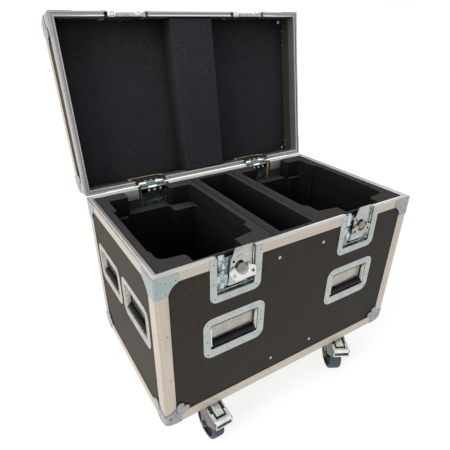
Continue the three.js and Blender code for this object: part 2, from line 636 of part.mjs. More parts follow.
// Back hinges, drawn facing -Y and turned round to the back: up is -1 for the base leaf, 1 for the lid leaf
function hingeLeaf(up, height, pocketHeight, seat) {
  const h = hinge;
  const outline = roundedOutline(-h.halfWidth, h.halfWidth, 0, height, 0, h.corner);
  const flange = slab(outline, 'xz', -h.proud, sheet);
  const shell = block(
    -h.pocketHalf - sheet, h.pocketHalf + sheet, 0, h.plateDepth + sheet, h.lowGap, pocketHeight + sheet);
  const hollow = block(
    -h.pocketHalf, h.pocketHalf, -h.proud - overrun, h.plateDepth, -overrun, pocketHeight);
  const rimRoom = block(
    -h.halfWidth, h.halfWidth, sheet + fit, h.plateDepth + sheet + overrun, -overrun, h.lowGap - fit);
  const leaf = flange.add(shell).subtract(hollow).subtract(rimRoom);
  const centre = -h.axisOut;
  const outer = [[-2 * h.knuckle, -h.knuckle - fit], [h.knuckle + fit, 2 * h.knuckle]];
  const spans = up < 0 ? outer : [[-h.knuckle, h.knuckle]];
  const web = outlineOf([
    [centre - h.barrelRadius / 2, -seat], [centre + h.barrelRadius / 2, -seat],
    [h.plateDepth + sheet, h.lowGap], [h.plateDepth + sheet, h.lowGap + h.knuckle],
    [h.plateDepth, h.lowGap + h.knuckle],
  ]);
  const parts = [leaf];
  for (const [x0, x1] of spans) {
    parts.push(slab(web, 'yz', x0, x1));
    parts.push(bar(h.barrelRadius, 'x', x0, x1, centre, -seat));
  }
  return join(parts).scale([1, -1, up]);
}
for (const [name, side] of sides) {
  const x = side * hingeX;
  const baseLeaf = hingeLeaf(-1, hinge.baseHeight, hinge.basePocket, 0).translate([x, halfDepth, rimZ]);
  addPiece(flightCase, `hinge_${name}_base_leaf`, baseLeaf, zinc);
  const lidLeaf = hingeLeaf(1, hinge.lidHeight, hinge.lidPocket, lidSeat).translate([x, halfDepth, lidZ]);
  addPiece(lid, `hinge_${name}_lid_leaf`, lidLeaf, zinc);
}

// Recessed handles: a dish and a sprung bail with a rubber grip
function recessedHandle(group, name) {
  const h = handle;
  const b = bail;
  const shellHalf = handlePocketHalf + sheet;
  const boreHalf = shellHalf + overrun;
  const bores = bar(
    b.pinRadius + fit, 'x', -boreHalf, boreHalf, b.pivotDepth, b.pivotZ, steps.pin);
  const dish = pressedDish(
    roundedOutline(-handleHalf, handleHalf, -h.halfHeight, h.halfHeight, h.corner, h.corner),
    roundedOutline(-shellHalf, shellHalf, h.pocketBottom - sheet, h.pocketTop + sheet, 0, 0),
    roundedOutline(-handlePocketHalf, handlePocketHalf, h.pocketBottom, h.pocketTop, 0, 0), 0, h.depth);
  addPiece(group, `${name}_dish`, dish.subtract(bores), zinc);

  const armOuter = handlePocketHalf - b.sideGap;
  const armInner = armOuter - b.armThickness;
  const parts = [
    bar(b.gripRadius, 'x', -armInner, armInner, b.pivotDepth, b.gripZ),
    bar(b.pinRadius, 'x', -shellHalf, -armInner, b.pivotDepth, b.pivotZ, steps.pin),
    bar(b.pinRadius, 'x', armInner, shellHalf, b.pivotDepth, b.pivotZ, steps.pin),
  ];
  for (const side of [-1, 1]) {
    const low = Math.min(side * armInner, side * armOuter);
    parts.push(block(
      low, low + b.armThickness, b.pivotDepth - b.armHalf, b.pivotDepth + b.armHalf,
      b.gripZ - b.armHalf, b.pivotZ + b.armHalf));
  }
  addPiece(group, `${name}_bail`, join(parts), gripRubber);
}
const handlePlaces = [];
for (const [name, side] of sides) {
  handlePlaces.push([
    `handle_front_${name}`, side * frontHandleX, -halfDepth, rimZ + handle.frontCentre, 0]);
  for (const [end, sign] of [['front', -1], ['back', 1]]) {
    handlePlaces.push([
      `handle_${name}_${end}`, side * halfWidth, sign * sideHandleY, rimZ + handle.sideCentre,
      side * Math.PI / 2]);
  }
}
for (const [name, x, y, z, turn] of handlePlaces) {
  const group = new THREE.Group();
  group.position.set(x, y, z);
  group.rotation.z = turn;
  flightCase.add(group);
  recessedHandle(group, name);
}

// Casters: everything hangs from the pivot, with the wheel trailing towards -Y before the group is turned
function casterFork() {
  const f = fork;
  const crownTop = -plate.thickness - plate.raceHeight - 2 * fit;
  const crownFoot = crownTop - f.crownHeight;
  const axleZ = wheel.radius - casterHeight;
  const cheek = new THREE.Shape();
  cheek.moveTo(f.rootBack, crownFoot + fit).lineTo(f.rootFront, crownFoot + fit);
  cheek.lineTo(-caster.trail - f.endRadius, axleZ);
  cheek.absarc(-caster.trail, axleZ, f.endRadius, Math.PI, 2 * Math.PI, false);
  const outer = f.innerHalf + f.cheek;
  const reach = outer + f.boltLength;
  const parts = [
    bar(f.crownRadius, 'z', crownFoot, crownTop, 0, 0),
    slab(cheek, 'yz', -outer, -f.innerHalf),
    slab(cheek, 'yz', f.innerHalf, outer),
    bar(f.axleRadius, 'x', -reach, reach, -caster.trail, axleZ, steps.pin),
    bar(pedal.pinRadius, 'x', -reach, reach, pedal.pivotY, pedal.pivotZ, steps.pin),
    bar(f.boltRadius, 'x', -reach, -outer, -caster.trail, axleZ, steps.pin),
    bar(f.boltRadius, 'x', outer, reach, -caster.trail, axleZ, steps.pin),
  ];
  return join(parts);
}
function casterPlate() {
  const p = plate;
  const outline = roundedOutline(-p.width / 2, p.width / 2, -p.depth / 2, p.depth / 2, p.corner, p.corner);
  const flat = slab(outline, 'xy', -p.thickness - fit, -fit);
  return flat.add(bar(p.raceRadius, 'z', -p.thickness - p.raceHeight - fit, -p.thickness, 0, 0));
}
function casterWheel() {
  const w = wheel;
  const round = w.radius / Math.cos(Math.PI / steps.wheel);
  const bore = fork.axleRadius + w.boreGap;
  const half = [
    [bore, w.hubHalf], [w.hubRadius, w.hubHalf], [w.rimRadius, w.treadHalf],
    [round - w.shoulder, w.treadHalf], [round, w.treadHalf - w.shoulder],
  ];
  const profile = half.concat(half.slice().reverse().map(([r, x]) => [r, -x]));
  profile.push(profile[0]);
  const points = profile.reverse().map(([r, x]) => new THREE.Vector2(r, x));
  const lathe = new THREE.LatheGeometry(points, steps.wheel, Math.PI / steps.wheel);
  return solid(lathe.rotateZ(Math.PI / 2));
}
function brakePedal() {
  const p = pedal;
  const tread = outlineOf([
    [p.rootY, p.rootZ], [p.kneeY, p.kneeZ], [p.tipY, p.tipZ], [p.tipY, p.tipZ - p.lip],
    [p.tipY + p.thickness, p.tipZ - p.lip], [p.tipY + p.thickness, p.tipZ - p.thickness],
    [p.kneeY, p.kneeZ - p.thickness], [p.rootY, p.rootZ - p.thickness],
  ]);
  const cheek = outlineOf([
    [p.rearY, p.rearZ], [p.rootY, p.rootZ], [p.kneeY, p.kneeZ], [p.tipY, p.tipZ], [p.tipY, p.tipZ - p.lip],
    [p.chinY, p.chinZ], [p.jawY, p.jawZ], [p.heelY, p.heelZ],
  ]);
  const bore = bar(
    p.pinRadius + p.pinGap, 'x', -p.half - overrun, p.half + overrun, p.pivotY, p.pivotZ, steps.pin);
  const parts = [
    slab(tread, 'yz', -p.half, p.half),
    slab(cheek, 'yz', -p.half, p.thickness - p.half),
    slab(cheek, 'yz', p.half - p.thickness, p.half),
  ];
  return join(parts).subtract(bore);
}
const casterSpots = [
  ['front_left', -1, -1, 0],
  ['front_right', 1, -1, caster.frontRightDegrees],
  ['rear_left', -1, 1, caster.rearDegrees],
  ['rear_right', 1, 1, caster.rearDegrees],
];
for (const [name, sx, sy, turn] of casterSpots) {
  const pivot = new THREE.Group();
  pivot.position.set(sx * casterX, sy * (halfDepth - caster.inset), undersideZ);
  flightCase.add(pivot);
  addPiece(pivot, `caster_${name}_plate`, casterPlate(), zinc);
  const swivel = new THREE.Group();
  swivel.rotation.z = THREE.MathUtils.degToRad(turn);
  pivot.add(swivel);
  addPiece(swivel, `caster_${name}_fork`, casterFork(), zinc);
  const axle = new THREE.Group();
  axle.position.set(0, -caster.trail, wheel.radius - casterHeight);
  swivel.add(axle);
  addPiece(axle, `caster_${name}_wheel`, casterWheel(), tyreRubber);
  if (sy < 0) addPiece(swivel, `caster_${name}_brake_pedal`, brakePedal(), zinc);
}

export default flightCase;
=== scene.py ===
"""A wheeled flight case for stage lights with its lid open, finished for its picture.

The case stands in its own frame: X to the right along the front, Y to the back, Z up, floor at 0.
Shapes are worked out in millimetres, and piece() writes their meshes in metres.
"""
import math

import bmesh
import bpy
import numpy as np
from mathutils import Matrix, Vector
from mathutils.geometry import tessellate_polygon


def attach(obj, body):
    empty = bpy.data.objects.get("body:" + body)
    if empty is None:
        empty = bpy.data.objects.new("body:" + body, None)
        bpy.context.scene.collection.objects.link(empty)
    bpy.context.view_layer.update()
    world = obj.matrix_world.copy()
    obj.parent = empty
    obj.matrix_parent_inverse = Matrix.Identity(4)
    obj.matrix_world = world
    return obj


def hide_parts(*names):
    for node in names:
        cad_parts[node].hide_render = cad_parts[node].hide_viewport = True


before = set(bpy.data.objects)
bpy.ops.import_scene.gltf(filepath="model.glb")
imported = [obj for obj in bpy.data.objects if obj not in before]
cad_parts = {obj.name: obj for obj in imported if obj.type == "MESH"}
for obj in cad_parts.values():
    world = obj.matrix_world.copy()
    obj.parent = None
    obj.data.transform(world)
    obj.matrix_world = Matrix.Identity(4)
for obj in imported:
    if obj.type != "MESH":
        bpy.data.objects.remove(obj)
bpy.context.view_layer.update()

MM = 0.001
HALF_WIDTH, HALF_DEPTH = 400, 235
UNDERSIDE = 155
RIM = UNDERSIDE + 458
LID_RIM = RIM + 0.5
LID_TOP = LID_RIM + 105
HINGE_Y, OPEN_DEGREES = 238, 100
LATCH_X, HINGE_X, CASTER_X, CASTER_Y = 198, 199, 253, 163
FRONT_HANDLE_X, FRONT_HANDLE_DROP = 198, 222
SIDE_HANDLE_Y, SIDE_HANDLE_DROP = 97, 178
FLOOR_INSET = 2.16
SIDES = (("left", -1), ("right", 1))
ENDS = (("front", -1), ("back", 1))
CORNERS = (("front_left", -1, -1), ("front_right", 1, -1), ("rear_left", -1, 1), ("rear_right", 1, 1))
EDGE_FRAME = {"case": "base_edge_frame", "lid": "lid_edge_frame"}
# Swapped axes that turn a plate drawn facing the front: laid level, and facing a side
LEVEL = np.array([[1, 0, 0], [0, 0, 1], [0, 1, 0]])
SIDEWAYS = np.array([[0, 1, 0], [1, 0, 0], [0, 0, 1]])


# Outlines: arrays of points in a plane, anticlockwise

def arc(centre, radius, start, end, steps):
    """Points at equal angles from start to end, in degrees, on a circle about a centre."""
    angles = np.radians(np.linspace(start, end, steps + 1))
    return np.array(centre) + radius * np.stack([np.cos(angles), np.sin(angles)], axis=1)


def circle(radius, steps, centre=(0, 0)):
    """Points at equal angles right round a circle."""
    return arc(centre, radius, 0, 360 - 360 / steps, steps - 1)


def rounded_box(a0, a1, b0, b1, low, high, steps=8):
    """A rectangle from its low left corner round; its low and high corners are quarter circles."""
    return np.concatenate([
        arc((a0 + low, b0 + low), low, 180, 270, steps),
        arc((a1 - low, b0 + low), low, 270, 360, steps),
        arc((a1 - high, b1 - high), high, 0, 90, steps),
        arc((a0 + high, b1 - high), high, 90, 180, steps),
    ])


def softened(points, radius, steps=4):
    """An outline whose corners are bent: each is a quadratic curve that leaves the two edges at
    the radius from the corner, or at 0.45 of a shorter edge, and is pulled towards the corner."""
    points = np.asarray(points, float)
    radius = np.broadcast_to(np.asarray(radius, float), len(points))[:, None]
    to_last = np.roll(points, 1, 0) - points
    to_next = np.roll(points, -1, 0) - points
    last_length = np.linalg.norm(to_last, axis=1, keepdims=True)
    next_length = np.linalg.norm(to_next, axis=1, keepdims=True)
    before = points + to_last / last_length * np.minimum(radius, 0.45 * last_length)
    after = points + to_next / next_length * np.minimum(radius, 0.45 * next_length)
    t = np.linspace(0, 1, steps + 1)[None, :, None]
    before, corner, after = before[:, None], points[:, None], after[:, None]
    return ((1 - t) ** 2 * before + 2 * t * (1 - t) * corner + t ** 2 * after).reshape(-1, 2)


def block(a0, a1, b0, b1, radius):
    """A rectangle with bent corners."""
    return softened([(a0, b0), (a1, b0), (a1, b1), (a0, b1)], radius)


def open_dish(half, low, radius, top, steps=10):
    """A U: down the left side from the top, round both low corners, and up the right side."""
    return np.concatenate([
        [(-half, top)], arc((radius - half, low + radius), radius, 180, 270, steps),
        arc((half - radius, low + radius), radius, 270, 360, steps), [(half, top)]])


def grown(outline, by):
    """An outline moved out by a distance: each point goes along the mitre of its two edges."""
    edge = np.roll(outline, -1, 0) - outline
    edge = edge / np.maximum(np.linalg.norm(edge, axis=1, keepdims=True), 1e-9)
    out = np.stack([edge[:, 1], -edge[:, 0]], axis=1)
    last = np.roll(out, 1, 0)
    spread = 1 + np.sum(out * last, axis=1, keepdims=True)
    return outline + by * (out + last) / np.maximum(spread, 0.4)


# Skins: points in space with their faces and their flow, the lengths across and along a surface

def lengths(points, axis):
    """Running length from the first point of a grid, summed along one of its axes."""
    step = np.linalg.norm(np.diff(points, axis=axis), axis=-1)
    start = np.zeros_like(np.take(step, [0], axis=axis))
    return np.concatenate([start, np.cumsum(step, axis=axis)], axis=axis)


def loft(rings, ends=True, loop=False):
    """A skin through rings: point u of ring v is rings[v, u]. Rings close on themselves, and the
    first and last are filled in, or joined to each other where loop is set."""
    rings = np.asarray(rings, float)
    rows, columns = rings.shape[:2]
    r = np.arange(rows if loop else rows - 1)[:, None]
    c = np.arange(columns)[None, :]
    r1, c1 = (r + 1) % rows, (c + 1) % columns
    corners = np.broadcast_arrays(r * columns + c, r * columns + c1, r1 * columns + c1, r1 * columns + c)
    faces = np.stack(corners, axis=-1).reshape(-1, 4).tolist()
    if ends and not loop:
        faces.append(list(range(columns))[::-1])
        faces.append(list(range((rows - 1) * columns, rows * columns)))
    across, along = lengths(rings, 1), lengths(rings, 0)
    flow = np.stack([across, along, np.zeros_like(across)], axis=-1)
    return rings.reshape(-1, 3), faces, flow.reshape(-1, 3)


def sheet(front, back):
    """A closed skin between two grids of the same size: both grids and the strip round their edge."""
    rows, columns = front.shape[:2]
    count = rows * columns
    index = np.arange(count).reshape(rows, columns)
    quads = np.stack([index[:-1, :-1], index[:-1, 1:], index[1:, 1:], index[1:, :-1]], axis=-1).reshape(-1, 4)
    edge = np.concatenate([index[0, :-1], index[:-1, -1], index[-1, :0:-1], index[:0:-1, 0]])
    rim = np.stack([edge, np.roll(edge, -1), np.roll(edge, -1) + count, edge + count], axis=-1)
    faces = np.concatenate([quads, quads[:, ::-1] + count, rim]).tolist()
    points = np.concatenate([front.reshape(-1, 3), back.reshape(-1, 3)])
    flow = np.stack([lengths(front, 1), lengths(front, 0), np.zeros((rows, columns))], axis=-1).reshape(-1, 3)
    return points, faces, np.concatenate([flow, flow])


def lay(outline, depth):
    """An outline stood up facing the front: its points across and up, at one depth."""
    return np.stack([outline[:, 0], np.full(len(outline), float(depth)), outline[:, 1]], axis=1)


def plate(outline, near, far, edge, holes=(), steps=3):
    """A flat plate between two depths: outline and holes keep their size between the faces, and
    quarter circles draw the outline in and the holes out by the edge radius at both of them."""
    angles = np.radians(np.linspace(0, 90, steps + 1))
    drawn = edge * (1 - np.sin(angles))
    depth = edge * (1 - np.cos(angles))
    drawn = np.concatenate([drawn, drawn[::-1]])
    depths = np.concatenate([near + depth, far - depth[::-1]])
    skins, first, last, start = [], [], [], 0
    for number, shape in enumerate([outline, *holes]):
        sign = -1 if number == 0 else 1
        rings = np.stack([lay(grown(shape, sign * d), y) for d, y in zip(drawn, depths)])
        skins.append(loft(rings, ends=False))
        count = len(shape)
        first.append(np.arange(count) + start)
        last.append(np.arange(count) + start + (len(depths) - 1) * count)
        start += rings.shape[0] * count
    points, faces, flow = joined(skins)
    for loops in (first, last):
        order = np.concatenate(loops)
        cuts = tessellate_polygon([[Vector(points[i]) for i in loop] for loop in loops])
        faces += [[int(order[i]) for i in cut] for cut in cuts]
    return points, faces, flow


def lathe(profile, steps, axis, centre=(0, 0), loop=False):
    """A profile of radius and height turned round an axis: ring v is a circle of its radius at
    its height, about a centre on the other two axes."""
    profile = np.asarray(profile, float)
    flat = profile[:, None, 0:1] * circle(1, steps)[None] + np.asarray(centre, float)
    height = np.broadcast_to(profile[:, None, 1:2], flat[..., :1].shape)
    a, b = flat[..., 0:1], flat[..., 1:2]
    order = {"x": (height, a, b), "y": (a, height, b), "z": (a, b, height)}[axis]
    return loft(np.concatenate(order, axis=-1), loop=loop)


def rod(radius, start, end, steps, axis, centre):
    """A plain round rod along an axis, its ends drawn in to small poles."""
    return lathe([(0.2, start), (radius, start), (radius, end), (0.2, end)], steps, axis, centre)


def prism(outline, x0, x1):
    """An outline of depth and height run straight across between two places."""
    return loft([np.column_stack([np.full(len(outline), float(x)), outline]) for x in (x0, x1)])


def straight(profile, place, start, end):
    """A profile carried straight: every point (p, q) goes to place(p, q, w) for both ends w."""
    p, q = profile.T
    return loft([np.stack(place(p, q, np.full_like(p, w)), axis=1) for w in (start, end)])


def joined(skins):
    """Several skins as one."""
    points, faces, flows, start = [], [], [], 0
    for p, f, w in skins:
        points.append(p)
        flows.append(w)
        faces += [[i + start for i in face] for face in f]
        start += len(p)
    return np.concatenate(points), faces, np.concatenate(flows)


def moved(skins, to=(0, 0, 0), turn=None, scale=(1, 1, 1)):
    """Skins that are scaled, turned by a matrix whose columns are the new axes, and moved."""
    turn = np.eye(3) if turn is None else np.asarray(turn, float)
    return [((p * scale) @ turn.T + to, f, w) for p, f, w in skins]


def both_sides(skins):
    """Skins with their mirror image across the middle."""
    return moved(skins, scale=(-1, 1, 1)) + skins


def turning(axis, degrees):
    """The matrix of a turn about one axis."""
    return np.array(Matrix.Rotation(math.radians(degrees), 3, axis))


def opened(skins):
    """Skins of the closed lid turned open about the hinge line."""
    hinge = np.array([0, HINGE_Y, RIM])
    turn = turning("X", -OPEN_DEGREES)
    return [((p - hinge) @ turn.T + hinge, f, w) for p, f, w in skins]


def placed(name, data):
    """A new object with its data, in the scene."""
    made = bpy.data.objects.new(name, data)
    bpy.context.scene.collection.objects.link(made)
    return made


def piece(name, body, skins, finish, node=None, slot="zinc_plate", place=(0, 0, 0), turn=None,
          scale=(1, 1, 1), sharp=38):
    """One piece of the case: its skins scaled, turned and put in place, and opened with the lid, as a
    mesh with outward faces, on its body, in its finish, for the node that it replaces."""
    skins = moved(skins, place, turn, scale)
    points, faces, flow = joined(opened(skins) if body == "lid" else skins)
    mesh = bpy.data.meshes.new(name)
    mesh.from_pydata((points * MM).tolist(), [], faces)
    attribute = mesh.attributes.new("flow", "FLOAT_VECTOR", "POINT")
    attribute.data.foreach_set("vector", (flow * MM).ravel())
    work = bmesh.new()
    work.from_mesh(mesh)
    bmesh.ops.recalc_face_normals(work, faces=work.faces)
    work.to_mesh(mesh)
    work.free()
    mesh.shade_smooth()
    mesh.set_sharp_from_angle(angle=math.radians(sharp))
    mesh.materials.append(finish)
    made = placed(name, mesh)
    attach(made, body)
    if node:
        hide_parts(node)
    return made


# Finishes

class Wire:
    """A socket of a node tree. Arithmetic on it adds Math nodes to its tree."""

    def __init__(self, tree, socket):
        self.tree, self.socket = tree, socket

    def math(self, operation, *others):
        node = self.tree.nodes.new("ShaderNodeMath")
        node.operation = operation
        for slot, value in zip(node.inputs, (self, *others)):
            connect(self.tree, value, slot)
        return Wire(self.tree, node.outputs[0])

    def __add__(self, other): return self.math("ADD", other)
    def __sub__(self, other): return self.math("SUBTRACT", other)
    def __rsub__(self, other): return (self * -1) + other
    def __mul__(self, other): return self.math("MULTIPLY", other)
    __radd__, __rmul__ = __add__, __mul__

    def clamped(self):
        return self.math("MAXIMUM", 0).math("MINIMUM", 1)


def connect(tree, value, socket):
    """Links a wire to a socket, or sets the socket to a plain value. A plain colour gets its alpha."""
    if isinstance(value, Wire):
        tree.links.new(value.socket, socket)
    else:
        socket.default_value = (*value, 1) if socket.type == "RGBA" else value


def shade(colour, *by):
    """A plain colour times one number, or times one for each channel."""
    return tuple(float(value) for value in np.multiply(colour, by))


class Finish:
    """A material with one principled shader, whose uniform values are set on its own sockets."""

    def __init__(self, name, metal=0.0, specular=0.5):
        self.material = bpy.data.materials.new(name)
        self.material.use_nodes = True
        self.tree = self.material.node_tree
        self.shader = self.tree.nodes["Principled BSDF"]
        self.shader.inputs["Metallic"].default_value = metal
        self.shader.inputs["Specular IOR Level"].default_value = specular
        self.place = self.add("ShaderNodeTexCoord", "Object")

    def add(self, kind, output=0, settings=None, **inputs):
        """One output of a new node of a kind: its settings are set first, then its sockets' values
        or links, each by its name, or by its number after an underscore."""
        node = self.tree.nodes.new(kind)
        for key, value in (settings or {}).items():
            setattr(node, key, value)
        for key, value in inputs.items():
            connect(self.tree, value, node.inputs[int(key[1:]) if key[0] == "_" else key])
        return Wire(self.tree, node.outputs[output])

    def noise(self, scale, detail=3, roughness=0.6, stretch=(1, 1, 1), where=None):
        """Cloudy values from 0 to 1, squeezed by a factor for each axis."""
        where = where or self.place
        if stretch != (1, 1, 1):
            where = self.add("ShaderNodeVectorMath", 0, {"operation": "MULTIPLY"}, _0=where, _1=stretch)
        return self.add("ShaderNodeTexNoise", Vector=where, Scale=scale, Detail=detail, Roughness=roughness)

    def band(self, value, low, high):
        """0 below low, 1 above high, and a smooth rise between them."""
        return self.add("ShaderNodeMapRange", 0, {"interpolation_type": "SMOOTHSTEP"}, Value=value,
                        **{"From Min": low, "From Max": high})

    def spots(self, low, high, *noise):
        """1 in the high places of a noise, 0 in its low ones, and a smooth rise between them."""
        return self.band(self.noise(*noise), low, high)

    def flow(self):
        """The lengths across and along the piece's own surface."""
        return self.add("ShaderNodeAttribute", "Vector", {"attribute_name": "flow"})

    def part(self, vector, axis):
        """One number of a vector."""
        return self.add("ShaderNodeSeparateXYZ", axis, _0=vector)

    def hidden(self, reach, most=1.15, fall=1.5):
        """1 where other surfaces crowd round within a reach, and 0 in the open."""
        free = self.add("ShaderNodeAmbientOcclusion", "AO", {"samples": 8}, Distance=reach)
        return (most - free * fall).clamped()

    def mix(self, factor, first, second, *coats):
        """One colour turning into another as the factor goes from 0 to 1, and coats over it, each
        with its own factor and colour."""
        mixed = self.add("ShaderNodeMix", 2, {"data_type": "RGBA"}, _0=factor, _6=first, _7=second)
        return self.mix(coats[0][0], mixed, coats[0][1], *coats[1:]) if coats else mixed

    def done(self, colour, roughness, height, strength, distance):
        """The material with what varies: colour, roughness, and relief that bends the normal."""
        normal = self.add("ShaderNodeBump", Height=height, Strength=strength, Distance=distance)
        for socket, value in (("Base Color", colour), ("Roughness", roughness), ("Normal", normal)):
            connect(self.tree, value, self.shader.inputs[socket])
        return self.material


def edge_aluminium(name, dark, pale):
    """Anodised extrusion: pale grey between two given colours, with draw lines and broader streaks along its
    length, and painted shade where other surfaces crowd round.
    """
    f = Finish(name, 0.75)
    flow = f.flow()
    lines = f.noise(2600, 2, 0.6, (1, 0.012, 1), flow)
    streaks = f.spots(0.36, 0.64, 240, 3, 0.6, (1, 0.02, 1), flow)
    patches = f.noise(14, 4)
    scuffs = f.spots(0.64, 0.78, 220, 5, 0.7, (1, 0.25, 1))
    colour = f.mix((lines * 0.3 + streaks * 0.4 + patches * 0.3).clamped(), dark, pale,
                   # painted shade: darker where other surfaces crowd round
                   (scuffs * 0.45, (0.26, 0.24, 0.22)), (f.hidden(0.012) * 0.55, (0.05, 0.045, 0.04)))
    return f.done(colour, 0.32 + lines * 0.12 + patches * 0.14 + scuffs * 0.12,
                  lines * 0.5 + streaks * 0.2 + scuffs * 0.3, 0.2, 0.0004)


def rim_aluminium(name, painted_brightness, bright, ribbed):
    """Cool grey extrusion of the rims, lightened or darkened as a whole by its painted brightness. Over one
    stretch of the lengths across its profile a painted highlight turns it near white, and over another it is
    ribbed every 3.1 mm along its length, with painted shade in the grooves and painted highlights on the
    crests."""
    f = Finish(name, 0.88)
    flow = f.flow()
    across = f.part(flow, 0)

    def stretch(low, high, soft):
        return f.band(across, low, low + soft) * (1 - f.band(across, high - soft, high))

    legs = stretch(*ribbed, 0.001)
    ribs = (across * (2 * math.pi / 0.0031)).math("SINE") * 0.5 + 0.5
    lines = f.noise(1900, 2, 0.6, (1, 0.012, 1), flow)
    patches = f.noise(18, 4)
    # The colour: a painted highlight whitens one band, the ribs get painted shade in their grooves and a
    # painted highlight on their crests, and painted shade darkens crowded places
    colour = f.mix((lines * 0.5 + patches * 0.5).clamped(), shade((0.36, 0.365, 0.37), painted_brightness),
                   shade((0.60, 0.605, 0.60), painted_brightness), (stretch(*bright, 0.0005) * 0.8, (0.90, 0.91, 0.91)),
                   (legs * ribs * 0.72, (0.12, 0.125, 0.125)), (legs * (1 - ribs) * 0.5, (0.86, 0.86, 0.85)),
                   (f.hidden(0.006) * 0.8, (0.03, 0.03, 0.032)))
    return f.done(colour, 0.26 + lines * 0.14 + patches * 0.16, legs * ribs * 0.8 + lines * 0.2, 0.4, 0.0006)


def zinc_plate(name, dark, pale, hollow_reflection=0.9, roughness=0.15, reflection_all_over=0.0, glint=(0.50, 0.58, 0.60),
               size=150, metal=0.92):
    """Pressed steel with blue passivated zinc: between a darker and a paler shade in soft clouds, with fine
    speckles and faint gold. A painted reflection of broken teal and glint lies in its recesses and by a share
    all over, and painted shade darkens its tightest creases."""
    f = Finish(name, metal)
    clouds = f.spots(0.3, 0.7, 30, 5)
    fine = f.noise(900)
    speckles = f.spots(0.54, 0.66, 340, 3, 0.7)
    # deep: the painted reflection, broken dark teal and the glint colour
    deep = f.mix(f.spots(0.43, 0.58, size, 4, 0.65, (1, 1, 0.5)), (0.012, 0.040, 0.052), glint)
    colour = f.mix(clouds * 0.7 + fine * 0.3, dark, pale,
                   (f.spots(0.5, 0.7, 21, 3, 0.5) * 0.35, shade(pale, 1.05, 0.95, 0.78)),
                   (speckles * 0.35, shade(dark, 0.45)),
                   # painted reflection in the recesses and by a share all over, then painted shade in the
                   # tightest creases
                   ((f.hidden(0.03) * hollow_reflection + reflection_all_over).clamped(), deep),
                   (f.hidden(0.004) * 0.7, (0.02, 0.025, 0.03)))
    return f.done(colour, roughness + clouds * 0.1 + fine * 0.05 + speckles * 0.15,
                  fine * 0.3 + clouds * 0.9, 0.16, 0.001)


def pop_rivet():
    """A pop rivet: a bright ring about the rusty end of its pin. The third flow number runs to 1 there."""
    f = Finish("pop_rivet", 0.8)
    core = f.band(f.part(f.flow(), 2), 0.6, 0.72)
    fine = f.noise(700)
    colour = f.mix(fine, (0.30, 0.295, 0.29), (0.66, 0.65, 0.64), (core, (0.15, 0.075, 0.06)))
    return f.done(colour, 0.28 + core * 0.3 + fine * 0.1, fine, 0.2, 0.0004)


def laminate(name, low, high, lines):
    """Dark brown film-faced plywood: a pressed web of fine slanted cells, slightly uneven gloss."""
    f = Finish(name, specular=0.13)
    slanted = f.add("ShaderNodeMapping", Vector=f.place, Rotation=(0.6, 0.6, 0.78), Scale=(1, 1, 0.6))
    cells = f.add("ShaderNodeTexVoronoi", "Distance", {"feature": "DISTANCE_TO_EDGE"},
                  Vector=slanted, Scale=310)
    web = 1 - f.band(cells, 0.04, 0.24)
    clouds = f.noise(9, 4)
    grain = f.noise(700)
    rubs = f.spots(0.62, 0.8, 60, 6, 0.75, (1, 1, 0.4))
    colour = f.mix(clouds, low, high, (web * 0.62, lines), (rubs * 0.2, (0.05, 0.046, 0.041)))
    return f.done(colour, 0.56 + clouds * 0.1 + grain * 0.08 - rubs * 0.05,
                  web * 0.7 + grain * 0.3, 0.3, 0.0006)


def plywood_edge(name, dark, pale):
    """Sawn birch plywood edge: thin light and dark plies one over the other."""
    f = Finish(name, specular=0.3)
    plies = f.add("ShaderNodeTexWave", "Fac", {"wave_type": "BANDS", "bands_direction": "Y"},
                  Vector=f.place, Scale=110, Distortion=0.6, Detail=2)
    fibre = f.noise(900, 3, 0.6, (1, 0.2, 1), f.flow())
    colour = f.mix(plies, dark, pale, (fibre * 0.4, shade(dark, 0.7)))
    return f.done(colour, 0.7 + fibre * 0.2, fibre, 0.3, 0.0003)


def foam_black(name, base, light, cut=0.0):
    """Die-cut closed-cell foam: matt charcoal with small cells and a soft cloudy nap. Painted shade makes it
    black in the depths, and darkens its upright faces by a share."""
    f = Finish(name, specular=0.08)
    pits = f.add("ShaderNodeTexVoronoi", "Distance", {"feature": "F1"}, Vector=f.place, Scale=520)
    nap = f.spots(0.3, 0.7, 420, 4, 0.75)
    level = f.band(f.part(f.add("ShaderNodeNewGeometry", "Normal"), 2), 0.35, 0.85)
    colour = f.mix((pits * 0.5 + nap * 0.6).clamped(), base, light, (f.noise(26, 5, 0.65) * 0.35, base),
                   (f.spots(0.4, 0.62, 270, 3, 0.7) * 0.45, shade(base, 0.55)),
                   # painted shade: upright faces darker by the share given, and black where other surfaces
                   # crowd round
                   ((1 - level) * cut, (0.0012, 0.0012, 0.0018)),
                   (f.hidden(0.4, 1.2, 1.9) * 0.74, (0.0008, 0.0008, 0.0014)))
    return f.done(colour, (0.9 + nap * 0.1).clamped(), pits * 0.6 + nap * 0.7, 0.6, 0.0008)


def grip_rubber():
    """Black handle rubber: satin, with a fine moulded grain and dusty rubbed places."""
    f = Finish("grip_rubber", specular=0.24)
    grain = f.noise(1500)
    dust = f.spots(0.5, 0.8, 70, 4)
    colour = f.mix(dust * 0.6, (0.004, 0.004, 0.005), (0.015, 0.015, 0.016))
    return f.done(colour, 0.42 + dust * 0.2 + grain * 0.08, grain, 0.25, 0.0003)


